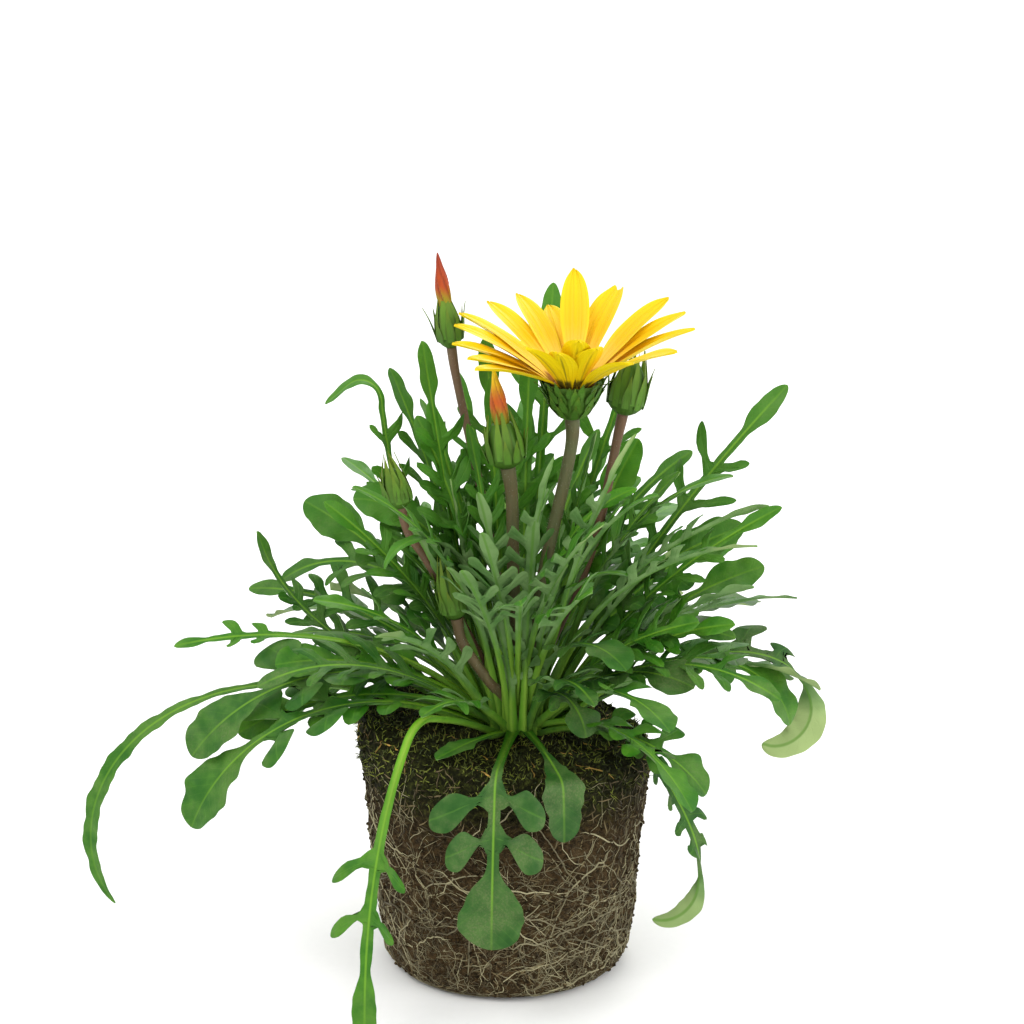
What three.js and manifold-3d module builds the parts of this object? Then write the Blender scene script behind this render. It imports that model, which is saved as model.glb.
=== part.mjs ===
// A gazania lifted out of its pot: a tapered plug of potting soil held together by its roots, a
// rosette of lobed leaves around a short crown, one open flower head and five buds on bare stalks.
// Millimetres, +Z up, the front towards -Y; the origin is the centre of the plug's flat underside.

import * as THREE from 'three';
import { mergeVertices } from 'three/addons/utils/BufferGeometryUtils.js';
import Module from 'manifold-3d';

const wasm = await Module();
wasm.setup();

// ---------------------------------------------------------------- driving dimensions

const GAP = 0.3;                      // between pieces that rest on each other

const PLUG_HEIGHT = 86;               // the soil plug takes the shape of a 10.5 cm pot
const PLUG_TOP_RADIUS = 51;
const PLUG_BOTTOM_RADIUS = 42;
const PLUG_EDGE_RADIUS = 7;           // where wall and underside meet
const PLUG_SLOPE = 0.11;              // the soil stands higher on the left, per mm across
const PLUG_RELIEF = 1.1;              // depth of the lumps in the wall

const ROOT_RADIUS = 0.85;
const ROOT_HOOPS = 4;
const ROOT_RUNS = 6;

const CROWN_X = 4;                    // the plant grows a little right of and before the centre
const CROWN_Y = -6;
const CROWN_RADIUS = 12;
const CROWN_TOP = 92;
const CROWN_DEPTH = 6;                // how far the crown stands down into its hole

const BLADE_THICKNESS = 1.5;          // at the rib of a leaf; it thins out to the edge
const PETAL_THICKNESS = 1.2;

const HEAD_HEIGHT = 207.5;            // where the open head's petals leave their cup
const HEAD_X = 22;
const HEAD_Y = -5;
const HEAD_LEAN = 6;                  // degrees, towards the front
const CUP_RADIUS = 9.5;
const CUP_HEIGHT = 12;

const rad = THREE.MathUtils.degToRad;

// ---------------------------------------------------------------- leaves

// Six sorts of leaf grow from one crown. bare: the part of the length that is only leaf stalk;
// pairs: lobes on each side; reach and width: of one lobe; forward: how far a lobe leans to the
// tip, per mm of reach; tip: half the width of the end lobe, and tipLength how much of the leaf
// it takes; stalk: half the width of the leaf stalk.
const STRAP = { bare: 0.36, pairs: 0, reach: 0, width: 0, forward: 0, tip: 4.2, tipLength: 0.64, stalk: 1.5 };
const NARROW = { bare: 0.38, pairs: 4, reach: 14, width: 4.4, forward: 0.9, tip: 3.8, tipLength: 0.18, stalk: 1.5 };
const SHORT = { bare: 0.38, pairs: 3, reach: 14, width: 4.4, forward: 0.9, tip: 3.8, tipLength: 0.22, stalk: 1.5 };
const BROAD = { bare: 0.36, pairs: 3, reach: 14, width: 8, forward: 0.5, tip: 8.5, tipLength: 0.28, stalk: 1.7 };
const ROUND = { bare: 0.4, pairs: 2, reach: 18, width: 13, forward: 0.45, tip: 10, tipLength: 0.3, stalk: 1.8 };
const LONG = { bare: 0.58, pairs: 2, reach: 14, width: 5.5, forward: 0.7, tip: 4.4, tipLength: 0.2, stalk: 1.9 };

// A leaf leaves the crown at its heading (0 right, 90 back, 180 left, 270 front) and its lift, and
// ends at the angle 'end', all in degrees; turn is how far the heading swings on the way, hold how
// long it keeps its first angle (1 bends evenly, 4 bends near the tip), size scales the lobes and
// roll is the twist of the blade. A leaf that is kinked has the place of the kink as a part of its
// length and the angle that it drops by there.
// name, sort, heading, length, lift, end, turn, hold, size, roll, kinkAt, kinkBy

// Leaves around the outside, each a node of its own.
const OUTER_LEAVES = [
  ['leaf_left_rising', NARROW, 168, 104, 25, 80, 16, 2.4, 0.88, -30, 0, 0],
  ['leaf_left_far', STRAP, 184, 190, 20, -128, 2, 1.9, 0.8, -20, 0, 0],
  ['leaf_left_trailing', ROUND, 201, 120, 29, -72, -6, 1.3, 1.0, -30, 0, 0],
  ['leaf_front_left_hanging', LONG, 229, 152, 30, -30, 28, 1.0, 1.0, 0, 0.27, 62],
  ['leaf_front_left_short', STRAP, 245.5, 38, 16, -10, -22, 1.0, 1.1, 0, 0, 0],
  ['leaf_front_broad', ROUND, 262, 97, 4, -14, 0, 1.0, 1.1, 0, 0.40, 72],
  ['leaf_front_strap', STRAP, 286, 60, 4, -20, 0, 1.0, 1.6, 0, 0.66, 70],
  ['leaf_right_hanging', NARROW, 336, 112, 4, -140, 8, 4.5, 0.8, 20, 0.26, 58],
  ['leaf_right_drooping', BROAD, 316, 68, 25, -58, 36, 1.2, 1.0, 20, 0, 0],
  ['leaf_right_low', BROAD, 353, 98, 40, -85, 2, 2.0, 0.9, 30, 0, 0],
  ['leaf_right_curling', STRAP, 9, 130, 25, -215, -6, 3.2, 1.5, 20, 0, 0],
  ['leaf_back_right_low', BROAD, 34, 98, 36, -12, 0, 1.2, 0.9, 0, 0, 0],
  ['leaf_back_right', NARROW, 60, 118, 34, -36, 0, 1.4, 1.0, 0, 0, 0],
  ['leaf_back', BROAD, 88, 112, 30, -44, 0, 1.4, 1.0, 0, 0, 0],
  ['leaf_back_left', NARROW, 116, 112, 34, -36, 0, 1.4, 1.0, 0, 0, 0],
  ['leaf_back_left_low', BROAD, 142, 108, 34, -30, 0, 1.4, 1.0, 0, 0, 0],
];

// Leaves that stand close together and cross; they are grown together with the crown.
const INNER_LEAVES = [
  ['left_flat', STRAP, 187, 116, 54, -12, 0, 0.7, 0.8, -40, 0, 0],
  ['left_grey', ROUND, 192, 80, 44, -8, 0, 1.0, 0.7, -40, 0, 0],
  ['left_arch', NARROW, 165, 104, 74, -44, 0, 1.5, 0.9, -45, 0, 0],
  ['left_curled', NARROW, 168, 142, 60, 92, 0, 1.2, 0.8, -30, 0.86, 130],
  ['left_tall', NARROW, 168, 132, 78, 82, 0, 1.0, 1.0, -40, 0, 0],
  ['left_tall_inner', NARROW, 168, 108, 85, 62, 0, 1.6, 1.0, -60, 0, 0],
  ['left_front_arch', STRAP, 213.4, 98, 84, -78, 0, 3.5, 0.9, 0, 0, 0],
  ['left_front_mid', SHORT, 203, 84, 60, 10, 0, 1.3, 0.9, -30, 0, 0],
  ['left_broad', BROAD, 171, 98, 83, -6, 6, 2.4, 0.9, -55, 0, 0],
  ['left_oval_low', ROUND, 194, 116, 40, -56, 0, 1.2, 0.9, -35, 0, 0],
  ['left_mid', NARROW, 182, 96, 70, 38, 0, 1.0, 0.9, -50, 0, 0],
  ['left_back_broad', BROAD, 158, 100, 62, 20, 0, 1.3, 0.9, -50, 0, 0],
  ['left_back_low', NARROW, 162, 100, 44, -10, 0, 1.4, 0.9, -40, 0, 0],
  ['front_left_oval', BROAD, 258, 46, 86, 60, -40, 1.4, 0.7, 0, 0, 0],
  ['front_left_low', SHORT, 242, 62, 42, -6, 0, 1.2, 0.8, 0, 0, 0],
  ['front_right_broad', BROAD, 304, 68, 84, -40, 12, 1.4, 1.0, 0, 0, 0],
  ['front_right_short', BROAD, 304, 44, 78, -80, 0, 1.2, 0.8, 0, 0, 0],
  ['front_mid_lobed', SHORT, 294, 62, 64, -24, 0, 1.2, 0.9, 0, 0, 0],
  ['front_upright', SHORT, 282, 80, 84, 72, 0, 1.2, 0.7, 0, 0, 0],
  ['right_bent', NARROW, 306, 98, 87, 12, 62, 2.6, 0.8, 30, 0, 0],
  ['right_reaching', SHORT, 315, 76, 84, -46, 44, 3.2, 0.7, 0, 0, 0],
  ['right_low_lobed', NARROW, 336, 94, 46, -32, 0, 1.3, 1.0, 25, 0, 0],
  ['right_round', ROUND, 330, 66, 54, -20, 0, 1.2, 0.9, 25, 0, 0],
  ['right_front_lobed', SHORT, 342, 82, 64, -16, 0, 1.2, 1.1, 30, 0, 0],
  ['right_slender', NARROW, 352, 112, 60, 29, 0, 1.0, 0.8, 50, 0, 0],
  ['right_wide', BROAD, 4, 98, 72, 16, 0, 1.0, 0.8, 50, 0, 0],
  ['right_dark', BROAD, 10, 92, 48, 14, 0, 1.2, 0.8, 40, 0, 0],
  ['right_long', NARROW, 14, 140, 60, 45, 0, 1.0, 1.0, 55, 0, 0],
  ['right_oval', BROAD, 42, 100, 74, 56, -14, 1.0, 0.7, 50, 0, 0],
  ['right_leaning', NARROW, 44, 110, 72, 20, -12, 1.3, 0.8, 50, 0, 0],
  ['right_back_broad', BROAD, 30, 98, 54, 8, 0, 1.2, 0.9, 45, 0, 0],
  ['middle_back', NARROW, 84, 122, 82, 70, 0, 1.0, 0.9, 0, 0, 0],
  ['behind_head', NARROW, 78, 148, 72, 68, 0, 1.0, 1.0, 0, 0, 0],
  ['behind_head_left', NARROW, 108, 128, 82, 74, 0, 1.0, 1.0, 0, 0, 0],
  ['back_right', BROAD, 54, 112, 56, -10, 0, 1.4, 1.0, 0, 0, 0],
  ['back_right_tall', NARROW, 52, 128, 72, 54, 0, 1.0, 1.0, 0, 0, 0],
  ['back_low', BROAD, 76, 108, 50, -24, 0, 1.4, 1.0, 0, 0, 0],
  ['back', NARROW, 94, 124, 60, 10, 0, 1.2, 1.0, 0, 0, 0],
  ['back_left_broad', BROAD, 114, 106, 50, -24, 0, 1.4, 1.0, 0, 0, 0],
  ['back_left', NARROW, 130, 118, 62, 10, 0, 1.2, 1.0, 0, 0, 0],
  ['back_left_tall', NARROW, 138, 124, 74, 58, 0, 1.0, 1.0, 0, 0, 0],
];

// ---------------------------------------------------------------- flower head and buds

// The open head's petals, anticlockwise from the right: heading, length and lift of each.
const PETALS = [
  [0, 38, 28], [12, 38, 32], [27, 38, 36], [66, 38, 35], [86, 39, 46], [100, 34, 24], [117, 38, 29],
  [138, 38, 28], [167, 38, 31], [183, 38, 31], [196, 38, 25], [209, 36, 23], [222, 38, 20],
  [242, 34, 38], [258, 30, 40], [272, 36, 43], [285, 32, 41], [303, 33, 29], [328, 37, 27],
];
const PETAL_WIDTH = 9.6;

const HEAD_STALK = { radius: 2.2, foot: [4.2, -0.6], via: [11.5, -5, 134] };

// Buds: where the cup's base is, how the bud leans (heading, degrees), the cup's radius and
// height, how far its petals show beyond the cup, how its pointed bracts stand (90 is upright,
// more leans inwards), the stalk's radius, where on the crown it stands and a point on its way.
const BUDS = [
  { name: 'bud_red_tall', base: [-18.3, 10, 216], lean: [180, 8], cup: [4.8, 14.5], petals: 17.3, bracts: 86,
    stalk: 1.5, foot: [-1.6, 4.8], via: [-5, 7, 148] },
  { name: 'bud_orange_front', base: [0.6, -11, 180], lean: [180, 8], cup: [7, 15], petals: 18.5, bracts: 84,
    stalk: 2.2, foot: [1.6, -4.6], via: [2.6, -12, 138] },
  { name: 'bud_green_right', base: [39.5, 12, 192.5], lean: [10, 12], cup: [7, 17], petals: 0, bracts: 92,
    stalk: 1.7, foot: [3.4, 4.4], via: [29, 7.5, 145] },
  { name: 'bud_green_front', base: [-16.5, -20, 130.5], lean: [190, 12], cup: [5.2, 15.5], petals: 0, bracts: 94,
    stalk: 1.9, foot: [-2.6, -5.4], via: [-6.6, -16.9, 108] },
  { name: 'bud_green_left', base: [-34.8, -15, 167.2], lean: [180, 14], cup: [5, 13], petals: 0, bracts: 94,
    stalk: 1.4, foot: [-5.4, -1.6], via: [-26, -15.5, 148] },
];

const COLOURS = {
  soil: 0x3a2a1f,
  root: 0xb9a68a,
  leaf: 0x3f7a34,
  petal: 0xf4c51c,
  disc: 0xa05a18,
  cup: 0x3c5a2a,
  stalk: 0x6b5440,
  budRed: 0xb4492c,
  budOrange: 0xcc7a24,
};

// ---------------------------------------------------------------- small helpers

// Repeatable random numbers between 0 and 1.
function seeded(seed) {
  let state = seed;
  return () => {
    state = (state * 1664525 + 1013904223) % 4294967296;
    return state / 4294967296;
  };
}

function solidOf(geometry) {
  const bare = geometry.index ? geometry.toNonIndexed() : geometry.clone();
  bare.deleteAttribute('normal');
  bare.deleteAttribute('uv');
  const merged = mergeVertices(bare, 1e-4);
  return new wasm.Manifold(new wasm.Mesh({
    numProp: 3,
    vertProperties: new Float32Array(merged.attributes.position.array),
    triVerts: new Uint32Array(merged.index.array),
  }));
}

function joined(solids) {
  return solids.reduce((whole, solid) => whole.add(solid));
}

// The largest body of a solid; scraps that a join leaves behind are dropped.
function mainBody(solid) {
  const bodies = solid.decompose();
  return bodies.reduce((a, b) => (b.volume() > a.volume() ? b : a));
}

function meshOf(name, solid, colour, roughness = 0.7) {
  const { vertProperties, triVerts, numProp } = solid.getMesh();
  if (numProp !== 3) throw new Error(`${name} carries more than positions`);
  const geometry = new THREE.BufferGeometry();
  geometry.setAttribute('position', new THREE.BufferAttribute(vertProperties, 3));
  geometry.setIndex(new THREE.BufferAttribute(triVerts, 1));
  const mesh = new THREE.Mesh(geometry, new THREE.MeshStandardMaterial({ color: colour, roughness, metalness: 0 }));
  mesh.name = name;
  return mesh;
}

// A turned solid about Z from a profile of [radius, height] that starts and ends on the axis.
function turned(profile, sides) {
  const points = profile.map(([radius, height]) => new THREE.Vector2(radius, height));
  return new THREE.LatheGeometry(points, sides).rotateX(Math.PI / 2);
}

// A tube of a few sides along a smooth curve through the points.
function tube(points, radius, sides, steps) {
  const ring = new THREE.Shape();
  for (let i = 0; i < sides; i += 1) {
    const angle = (2 * Math.PI * i) / sides;
    const corner = [radius * Math.cos(angle), radius * Math.sin(angle)];
    if (i === 0) ring.moveTo(...corner);
    else ring.lineTo(...corner);
  }
  const curve = new THREE.CatmullRomCurve3(points);
  const shape = { steps, extrudePath: curve, bevelEnabled: false, curveSegments: 1 };
  return solidOf(new THREE.ExtrudeGeometry(ring, shape));
}

// ---------------------------------------------------------------- blades

// The rib of a leaf or petal: a path of short steps whose heading and angle change as it goes.
function ribPath({ start, heading, length, lift, end, turn = 0, hold = 1, roll = 0, kinkAt = 0, kinkBy = 0 }) {
  const steps = 40;
  const frames = [];
  const point = start.clone();
  for (let i = 0; i <= steps; i += 1) {
    const s = i / steps;
    const kink = kinkBy * THREE.MathUtils.clamp((s - kinkAt) / 0.1 + 0.5, 0, 1);
    const angle = rad(lift + (end - lift) * s ** hold - kink);
    const way = rad(heading + turn * s);
    const level = Math.cos(angle);
    const along = new THREE.Vector3(level * Math.cos(way), level * Math.sin(way), Math.sin(angle));
    const side = new THREE.Vector3(-Math.sin(way), Math.cos(way), 0).applyAxisAngle(along, rad(roll * s));
    frames.push({ point: point.clone(), along, side, up: along.clone().cross(side) });
    point.addScaledVector(along, length / steps);
  }
  return (s) => {
    const place = THREE.MathUtils.clamp(s, 0, 1) * steps;
    const i = Math.min(Math.floor(place), steps - 1);
    const part = place - i;
    const mix = (key) => frames[i][key].clone().lerp(frames[i + 1][key], part);
    const beyond = Math.max(s - 1, 0) * length;
    return {
      point: mix('point').addScaledVector(frames[steps].along, beyond),
      side: mix('side').normalize(),
      up: mix('up').normalize(),
    };
  };
}

// A thin closed blade on a rib path. Each station has s, its place on the rib, and for the left
// and right edge [out, forward, raised] in mm; the blade is thickest at the rib and sharp at the
// edges, and both faces are split along the same lines.
function bladeSolid(path, length, stations, thickness) {
  const positions = [];
  const index = [];
  const put = (point) => positions.push(point.x, point.y, point.z) / 3 - 1;
  const edge = (s, [out, forward, raised], sign) => {
    const frame = path(s + forward / length);
    return frame.point.addScaledVector(frame.side, sign * out).addScaledVector(frame.up, raised);
  };
  const rings = stations.map(({ s, left, right, thin = 1 }) => {
    const { point, up } = path(s);
    const half = (thickness / 2) * thin;
    return [
      put(edge(s, left, 1)),
      put(point.clone().addScaledVector(up, half)),
      put(edge(s, right, -1)),
      put(point.clone().addScaledVector(up, -half)),
    ];
  });
  for (let i = 0; i < rings.length - 1; i += 1) {
    const [left, top, right, under] = rings[i];
    const [nextLeft, nextTop, nextRight, nextUnder] = rings[i + 1];
    index.push(top, nextTop, nextLeft, top, nextLeft, left);
    index.push(top, nextRight, nextTop, top, right, nextRight);
    index.push(under, nextLeft, nextUnder, under, left, nextLeft);
    index.push(under, nextUnder, nextRight, under, nextRight, right);
  }
  const [left, top, right, under] = rings[0];
  index.push(left, under, right, left, right, top);
  const tip = put(path(1).point);
  const [lastLeft, lastTop, lastRight, lastUnder] = rings[rings.length - 1];
  index.push(lastTop, tip, lastLeft, lastTop, lastRight, tip, lastUnder, lastLeft, tip, lastUnder, tip, lastRight);
  const geometry = new THREE.BufferGeometry();
  geometry.setAttribute('position', new THREE.Float32BufferAttribute(positions, 3));
  geometry.setIndex(index);
  return solidOf(geometry);
}

const even = (s, out, raised = 0, thin = 1) => ({ s, left: [out, 0, raised], right: [out, 0, raised], thin });

// ---------------------------------------------------------------- leaf

// The outline of a leaf as stations: the leaf stalk, its pairs of lobes and the end lobe. No two
// lobes are quite alike.
function leafStations(sort, length, size, draw, bends) {
  const stations = [even(0, sort.stalk)];
  if (bends) stations.push(even(sort.bare * 0.33, sort.stalk), even(sort.bare * 0.67, sort.stalk * 1.1));
  stations.push(even(sort.bare, sort.stalk));
  const lobed = 1 - sort.bare - sort.tipLength;
  const pitch = lobed / Math.max(sort.pairs, 1);
  for (let i = 0; i < sort.pairs; i += 1) {
    const s = sort.bare + pitch * i;
    const swell = 0.62 + 0.38 * Math.sin((Math.PI * (i + 0.8)) / (sort.pairs + 0.4));
    const reaches = [0, 1].map(() => sort.reach * size * swell * (0.8 + 0.4 * draw()));
    const cups = [0, 1].map(() => -0.12 + 0.4 * draw());
    const width = Math.min(sort.width * size, pitch * length * 0.6);
    const lobe = (at, out, forward) => ({
      s: at,
      left: [reaches[0] * out, reaches[0] * sort.forward + forward, reaches[0] * out * cups[0]],
      right: [reaches[1] * out, reaches[1] * sort.forward + forward, reaches[1] * out * cups[1]],
    });
    if (i > 0) stations.push(even(s, sort.stalk * 0.9));
    const root = (width / length) * 0.4;
    stations.push(lobe(s + root, 0.94, -width * 0.32));
    stations.push(lobe(s + 2 * root, 1.0, width * 0.45));
    stations.push(even(s + 3 * root, sort.stalk * 0.9));
  }
  const neck = 1 - sort.tipLength;
  const cup = 0.25;
  const swell = sort.pairs > 0
    ? [[0, 0.25], [0.42, 0.95], [0.8, 0.78]]
    : [[0.1, 0.4], [0.25, 0.6], [0.4, 0.8], [0.55, 0.95], [0.7, 1], [0.82, 0.9], [0.93, 0.55]];
  swell.forEach(([part, wide]) => {
    const out = sort.tip * size * wide;
    stations.push(even(neck + sort.tipLength * part, out, out * cup, 0.8));
  });
  return stations;
}

function leafSolid(row, number, radius, height) {
  const [, sort, heading, length, lift, end, turn, hold, size, roll, kinkAt, kinkBy] = row;
  const start = new THREE.Vector3(
    CROWN_X + radius * Math.cos(rad(heading)),
    CROWN_Y + radius * Math.sin(rad(heading)),
    height,
  );
  const path = ribPath({ start, heading, length, lift, end, turn, hold, roll, kinkAt, kinkBy });
  const bends = kinkBy > 0 || hold > 2;
  return bladeSolid(path, length, leafStations(sort, length, size, seeded(100 + number), bends), BLADE_THICKNESS);
}

// ---------------------------------------------------------------- soil plug and roots

const soilTop = (x, y) => PLUG_HEIGHT - 1 - PLUG_SLOPE * x + 0.7 * Math.sin(x * 0.21 + 1) * Math.cos(y * 0.19);

// Radius of the plug's wall: lumpy soil pressed against a tapered pot.
function wallRadius(angle, height) {
  const taper = PLUG_BOTTOM_RADIUS + ((PLUG_TOP_RADIUS - PLUG_BOTTOM_RADIUS) * height) / PLUG_HEIGHT;
  const below = Math.max(PLUG_EDGE_RADIUS - height, 0);
  const rounding = PLUG_EDGE_RADIUS - Math.sqrt(PLUG_EDGE_RADIUS ** 2 - below ** 2);
  const lumps = Math.sin(angle * 5 + height * 0.11) * 0.5 + Math.sin(angle * 9 - height * 0.23 + 2) * 0.3
    + Math.sin(angle * 3 + height * 0.31 + 4) * 0.4;
  return taper - rounding + lumps * PLUG_RELIEF * 0.5 * Math.min(height / 12, 1);
}

// The wall and the top of the plug as one turned shape, whose points are then moved onto the
// lumpy wall and the sloping soil.
function plugSolid() {
  const wallRows = [0.024, 0.08, 0.2, 0.34, 0.48, 0.62, 0.76, 0.89, 0.985];
  const topRings = [0.95, 0.7, 0.42];
  const flat = PLUG_BOTTOM_RADIUS - PLUG_EDGE_RADIUS;
  const profile = [[0, 0], [flat, 0]];
  wallRows.forEach((part) => profile.push([PLUG_TOP_RADIUS, part * PLUG_HEIGHT]));
  topRings.forEach((part) => profile.push([part * PLUG_TOP_RADIUS, PLUG_HEIGHT]));
  profile.push([0, PLUG_HEIGHT]);
  const geometry = turned(profile, 32);
  const place = geometry.attributes.position;
  for (let i = 0; i < place.count; i += 1) {
    const row = i % profile.length;
    const angle = Math.atan2(place.getY(i), place.getX(i));
    if (row >= 2 && row < 2 + wallRows.length) {
      const rim = soilTop(PLUG_TOP_RADIUS * Math.cos(angle), PLUG_TOP_RADIUS * Math.sin(angle));
      const height = wallRows[row - 2] * rim;
      const radius = wallRadius(angle, height);
      place.setXYZ(i, radius * Math.cos(angle), radius * Math.sin(angle), height);
    } else if (row >= 2 + wallRows.length) {
      place.setZ(i, soilTop(place.getX(i), place.getY(i)));
    }
  }
  const hole = new THREE.CylinderGeometry(CROWN_RADIUS + GAP, CROWN_RADIUS + GAP, 20, 24).rotateX(Math.PI / 2);
  hole.translate(CROWN_X, CROWN_Y, soilTop(CROWN_X, CROWN_Y) - CROWN_DEPTH - GAP + 10);
  return solidOf(geometry).subtract(solidOf(hole));
}

// Roots that have felt their way along the wall of the pot: hoops most of the way round and runs
// from the underside's edge to the rim, grown together where they cross.
function rootNetSolid() {
  const draw = seeded(7);
  const off = GAP + ROOT_RADIUS + 0.45;
  const onWall = (angle, height) => {
    const radius = wallRadius(angle, height) + off;
    return new THREE.Vector3(radius * Math.cos(angle), radius * Math.sin(angle), height);
  };
  const strands = [];
  for (let i = 0; i < ROOT_HOOPS; i += 1) {
    const height = 7 + ((PLUG_HEIGHT - 26) * (i + 0.6 * draw())) / ROOT_HOOPS;
    const from = 2 * Math.PI * draw();
    const swing = 3 + 4 * draw();
    const phase = 6 * draw();
    const points = [];
    for (let k = 0; k <= 18; k += 1) {
      const angle = from + (k / 18) * 5.6;
      points.push(onWall(angle, height + swing * Math.sin(angle * 2 + phase) + 2 * Math.sin(angle * 5 + phase)));
    }
    strands.push(tube(points, ROOT_RADIUS, 3, 24));
  }
  for (let i = 0; i < ROOT_RUNS; i += 1) {
    const around = (2 * Math.PI * (i + 0.5 * draw())) / ROOT_RUNS;
    const wander = 0.12 + 0.14 * draw();
    const phase = 6 * draw();
    const points = [];
    for (let k = 0; k <= 9; k += 1) {
      const height = 3 + ((PLUG_HEIGHT - 15) * k) / 9;
      points.push(onWall(around + wander * Math.sin(height * 0.09 + phase), height));
    }
    strands.push(tube(points, ROOT_RADIUS, 3, 10));
  }
  return mainBody(joined(strands));
}

// ---------------------------------------------------------------- crown, foliage and stalks

const crownBase = soilTop(CROWN_X, CROWN_Y) - CROWN_DEPTH;
const STALK_HOLE = 3;                 // how deep each stalk stands in the crown

function crownSolid(stalks) {
  const crown = turned([
    [0, crownBase], [CROWN_RADIUS * 0.8, crownBase], [CROWN_RADIUS, crownBase + 2],
    [CROWN_RADIUS, CROWN_TOP - 2.5], [CROWN_RADIUS * 0.75, CROWN_TOP], [0, CROWN_TOP],
  ], 20).translate(CROWN_X, CROWN_Y, 0);
  return stalks.reduce((solid, { radius, foot }) => {
    const wide = radius + 2 * GAP;
    const hole = new THREE.CylinderGeometry(wide, wide, 2 * STALK_HOLE, 10).rotateX(Math.PI / 2);
    hole.translate(CROWN_X + foot[0], CROWN_Y + foot[1], CROWN_TOP);
    return solid.subtract(solidOf(hole));
  }, solidOf(crown));
}

function foliageSolid(stalks) {
  const leaves = INNER_LEAVES.map((row, i) => leafSolid(row, 30 + i, CROWN_RADIUS - 2.5, CROWN_TOP - 2));
  return mainBody(joined([crownSolid(stalks), ...leaves]));
}

// An outer leaf ends where it meets the side of the crown.
function outerLeafSolid(row, i) {
  const lift = row[4];
  const radius = CROWN_RADIUS + GAP + (BLADE_THICKNESS / 2) * Math.sin(rad(lift));
  return leafSolid(row, i, radius, CROWN_TOP - 3.5);
}

// A stalk from its hole in the crown to just under a cup whose base and axis are given.
function stalkSolid({ radius, foot, via }, base, axis) {
  const stand = new THREE.Vector3(CROWN_X + foot[0], CROWN_Y + foot[1], CROWN_TOP - STALK_HOLE + GAP);
  const points = [
    stand,
    stand.clone().add(new THREE.Vector3(0, 0, 6)),
    new THREE.Vector3(...via),
    base.clone().addScaledVector(axis, -9),
    base.clone().addScaledVector(axis, -GAP),
  ];
  return tube(points, radius, 6, 9);
}

// ---------------------------------------------------------------- open head

// Pointed green bracts standing around a cup.
function bracts(count, radius, height, length, width, lift, end, draw) {
  const blades = [];
  for (let i = 0; i < count; i += 1) {
    const heading = (360 * (i + 0.3 * draw())) / count;
    const start = new THREE.Vector3(radius * Math.cos(rad(heading)), radius * Math.sin(rad(heading)), height);
    const long = length * (0.85 + 0.3 * draw());
    const path = ribPath({ start, heading, length: long, lift, end });
    blades.push(bladeSolid(path, long, [even(0, width / 2), even(0.5, width / 2.4)], 1.2));
  }
  return blades;
}

// The cup is an open dish that holds the plate of the head; its bracts lie under the petals.
function headCupSolid() {
  const dish = turned([
    [0, -CUP_HEIGHT], [2.6, -CUP_HEIGHT], [5, -CUP_HEIGHT + 2.4], [CUP_RADIUS - 1.2, -4.4], [CUP_RADIUS, -0.6],
    [CUP_RADIUS - 0.3, 0], [CUP_RADIUS - 1.2, 0], [CUP_RADIUS - 1.2, -2.4], [0, -2.4],
  ], 16);
  const blades = bracts(10, CUP_RADIUS - 1, -4.6, 7.5, 3.4, 62, 34, seeded(21));
  return joined([solidOf(dish), ...blades]);
}

function petalSolid([heading, length, lift]) {
  const root = CUP_RADIUS - 3;
  const start = new THREE.Vector3(root * Math.cos(rad(heading)), root * Math.sin(rad(heading)), -0.4);
  const path = ribPath({ start, heading, length, lift: lift + 14, end: lift - 10 });
  const half = PETAL_WIDTH / 2;
  const stations = [
    even(0, half * 0.3), even(0.16, half * 0.42, 0.3), even(0.4, half * 0.84, 0.8),
    even(0.66, half, 0.8), even(0.88, half * 0.62, 0.3),
  ];
  return bladeSolid(path, length, stations, PETAL_THICKNESS);
}

function petalsSolid() {
  const plateRadius = CUP_RADIUS - 1.2 - GAP;
  const plate = turned([[0, -2.4 + GAP], [plateRadius, -2.4 + GAP], [plateRadius, -0.4], [0, -0.4]], 16);
  return joined([solidOf(plate), ...PETALS.map(petalSolid)]);
}

const discSolid = () => solidOf(turned([[0, -0.1], [5.4, -0.1], [5.6, 1], [4, 3], [0, 3.6]], 12));

// ---------------------------------------------------------------- buds

// The urn of a bud that still hides its petals closes to a point.
function budCupSolid({ cup: [radius, height], petals, bracts: stand }, number) {
  const mouth = petals > 0 ? 0.62 : 0.4;
  const urn = turned([
    [0, 0], [radius * 0.4, 0], [radius * 0.82, height * 0.18], [radius, height * 0.45],
    [radius * 0.9, height * 0.75], [radius * mouth, height], [0, height * (petals > 0 ? 1 : 1.12)],
  ], 10);
  const blades = bracts(7, radius * 0.78, height * 0.42, height * 0.86, 3, stand - 6, stand + 6, seeded(40 + number));
  return joined([solidOf(urn), ...blades]);
}

function budPetalsSolid({ cup: [radius, height], petals }) {
  const from = height + GAP;
  return solidOf(turned([
    [0, from], [radius * 0.48, from], [radius * 0.5, from + 2], [radius * 0.34, from + petals * 0.6],
    [0, from + petals],
  ], 10));
}

// ---------------------------------------------------------------- the plant

const headAxis = new THREE.Vector3(0, -Math.sin(rad(HEAD_LEAN)), Math.cos(rad(HEAD_LEAN)));
const headPlace = new THREE.Vector3(HEAD_X, HEAD_Y, HEAD_HEIGHT);

function leanAxis([heading, lean]) {
  return new THREE.Vector3(Math.sin(rad(lean)) * Math.cos(rad(heading)), Math.sin(rad(lean)) * Math.sin(rad(heading)),
    Math.cos(rad(lean)));
}

// A group whose origin is the given place and whose Z points along the axis.
function standing(place, axis, meshes) {
  const group = new THREE.Group();
  group.position.copy(place);
  group.quaternion.setFromUnitVectors(new THREE.Vector3(0, 0, 1), axis);
  group.add(...meshes);
  return group;
}

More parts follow.
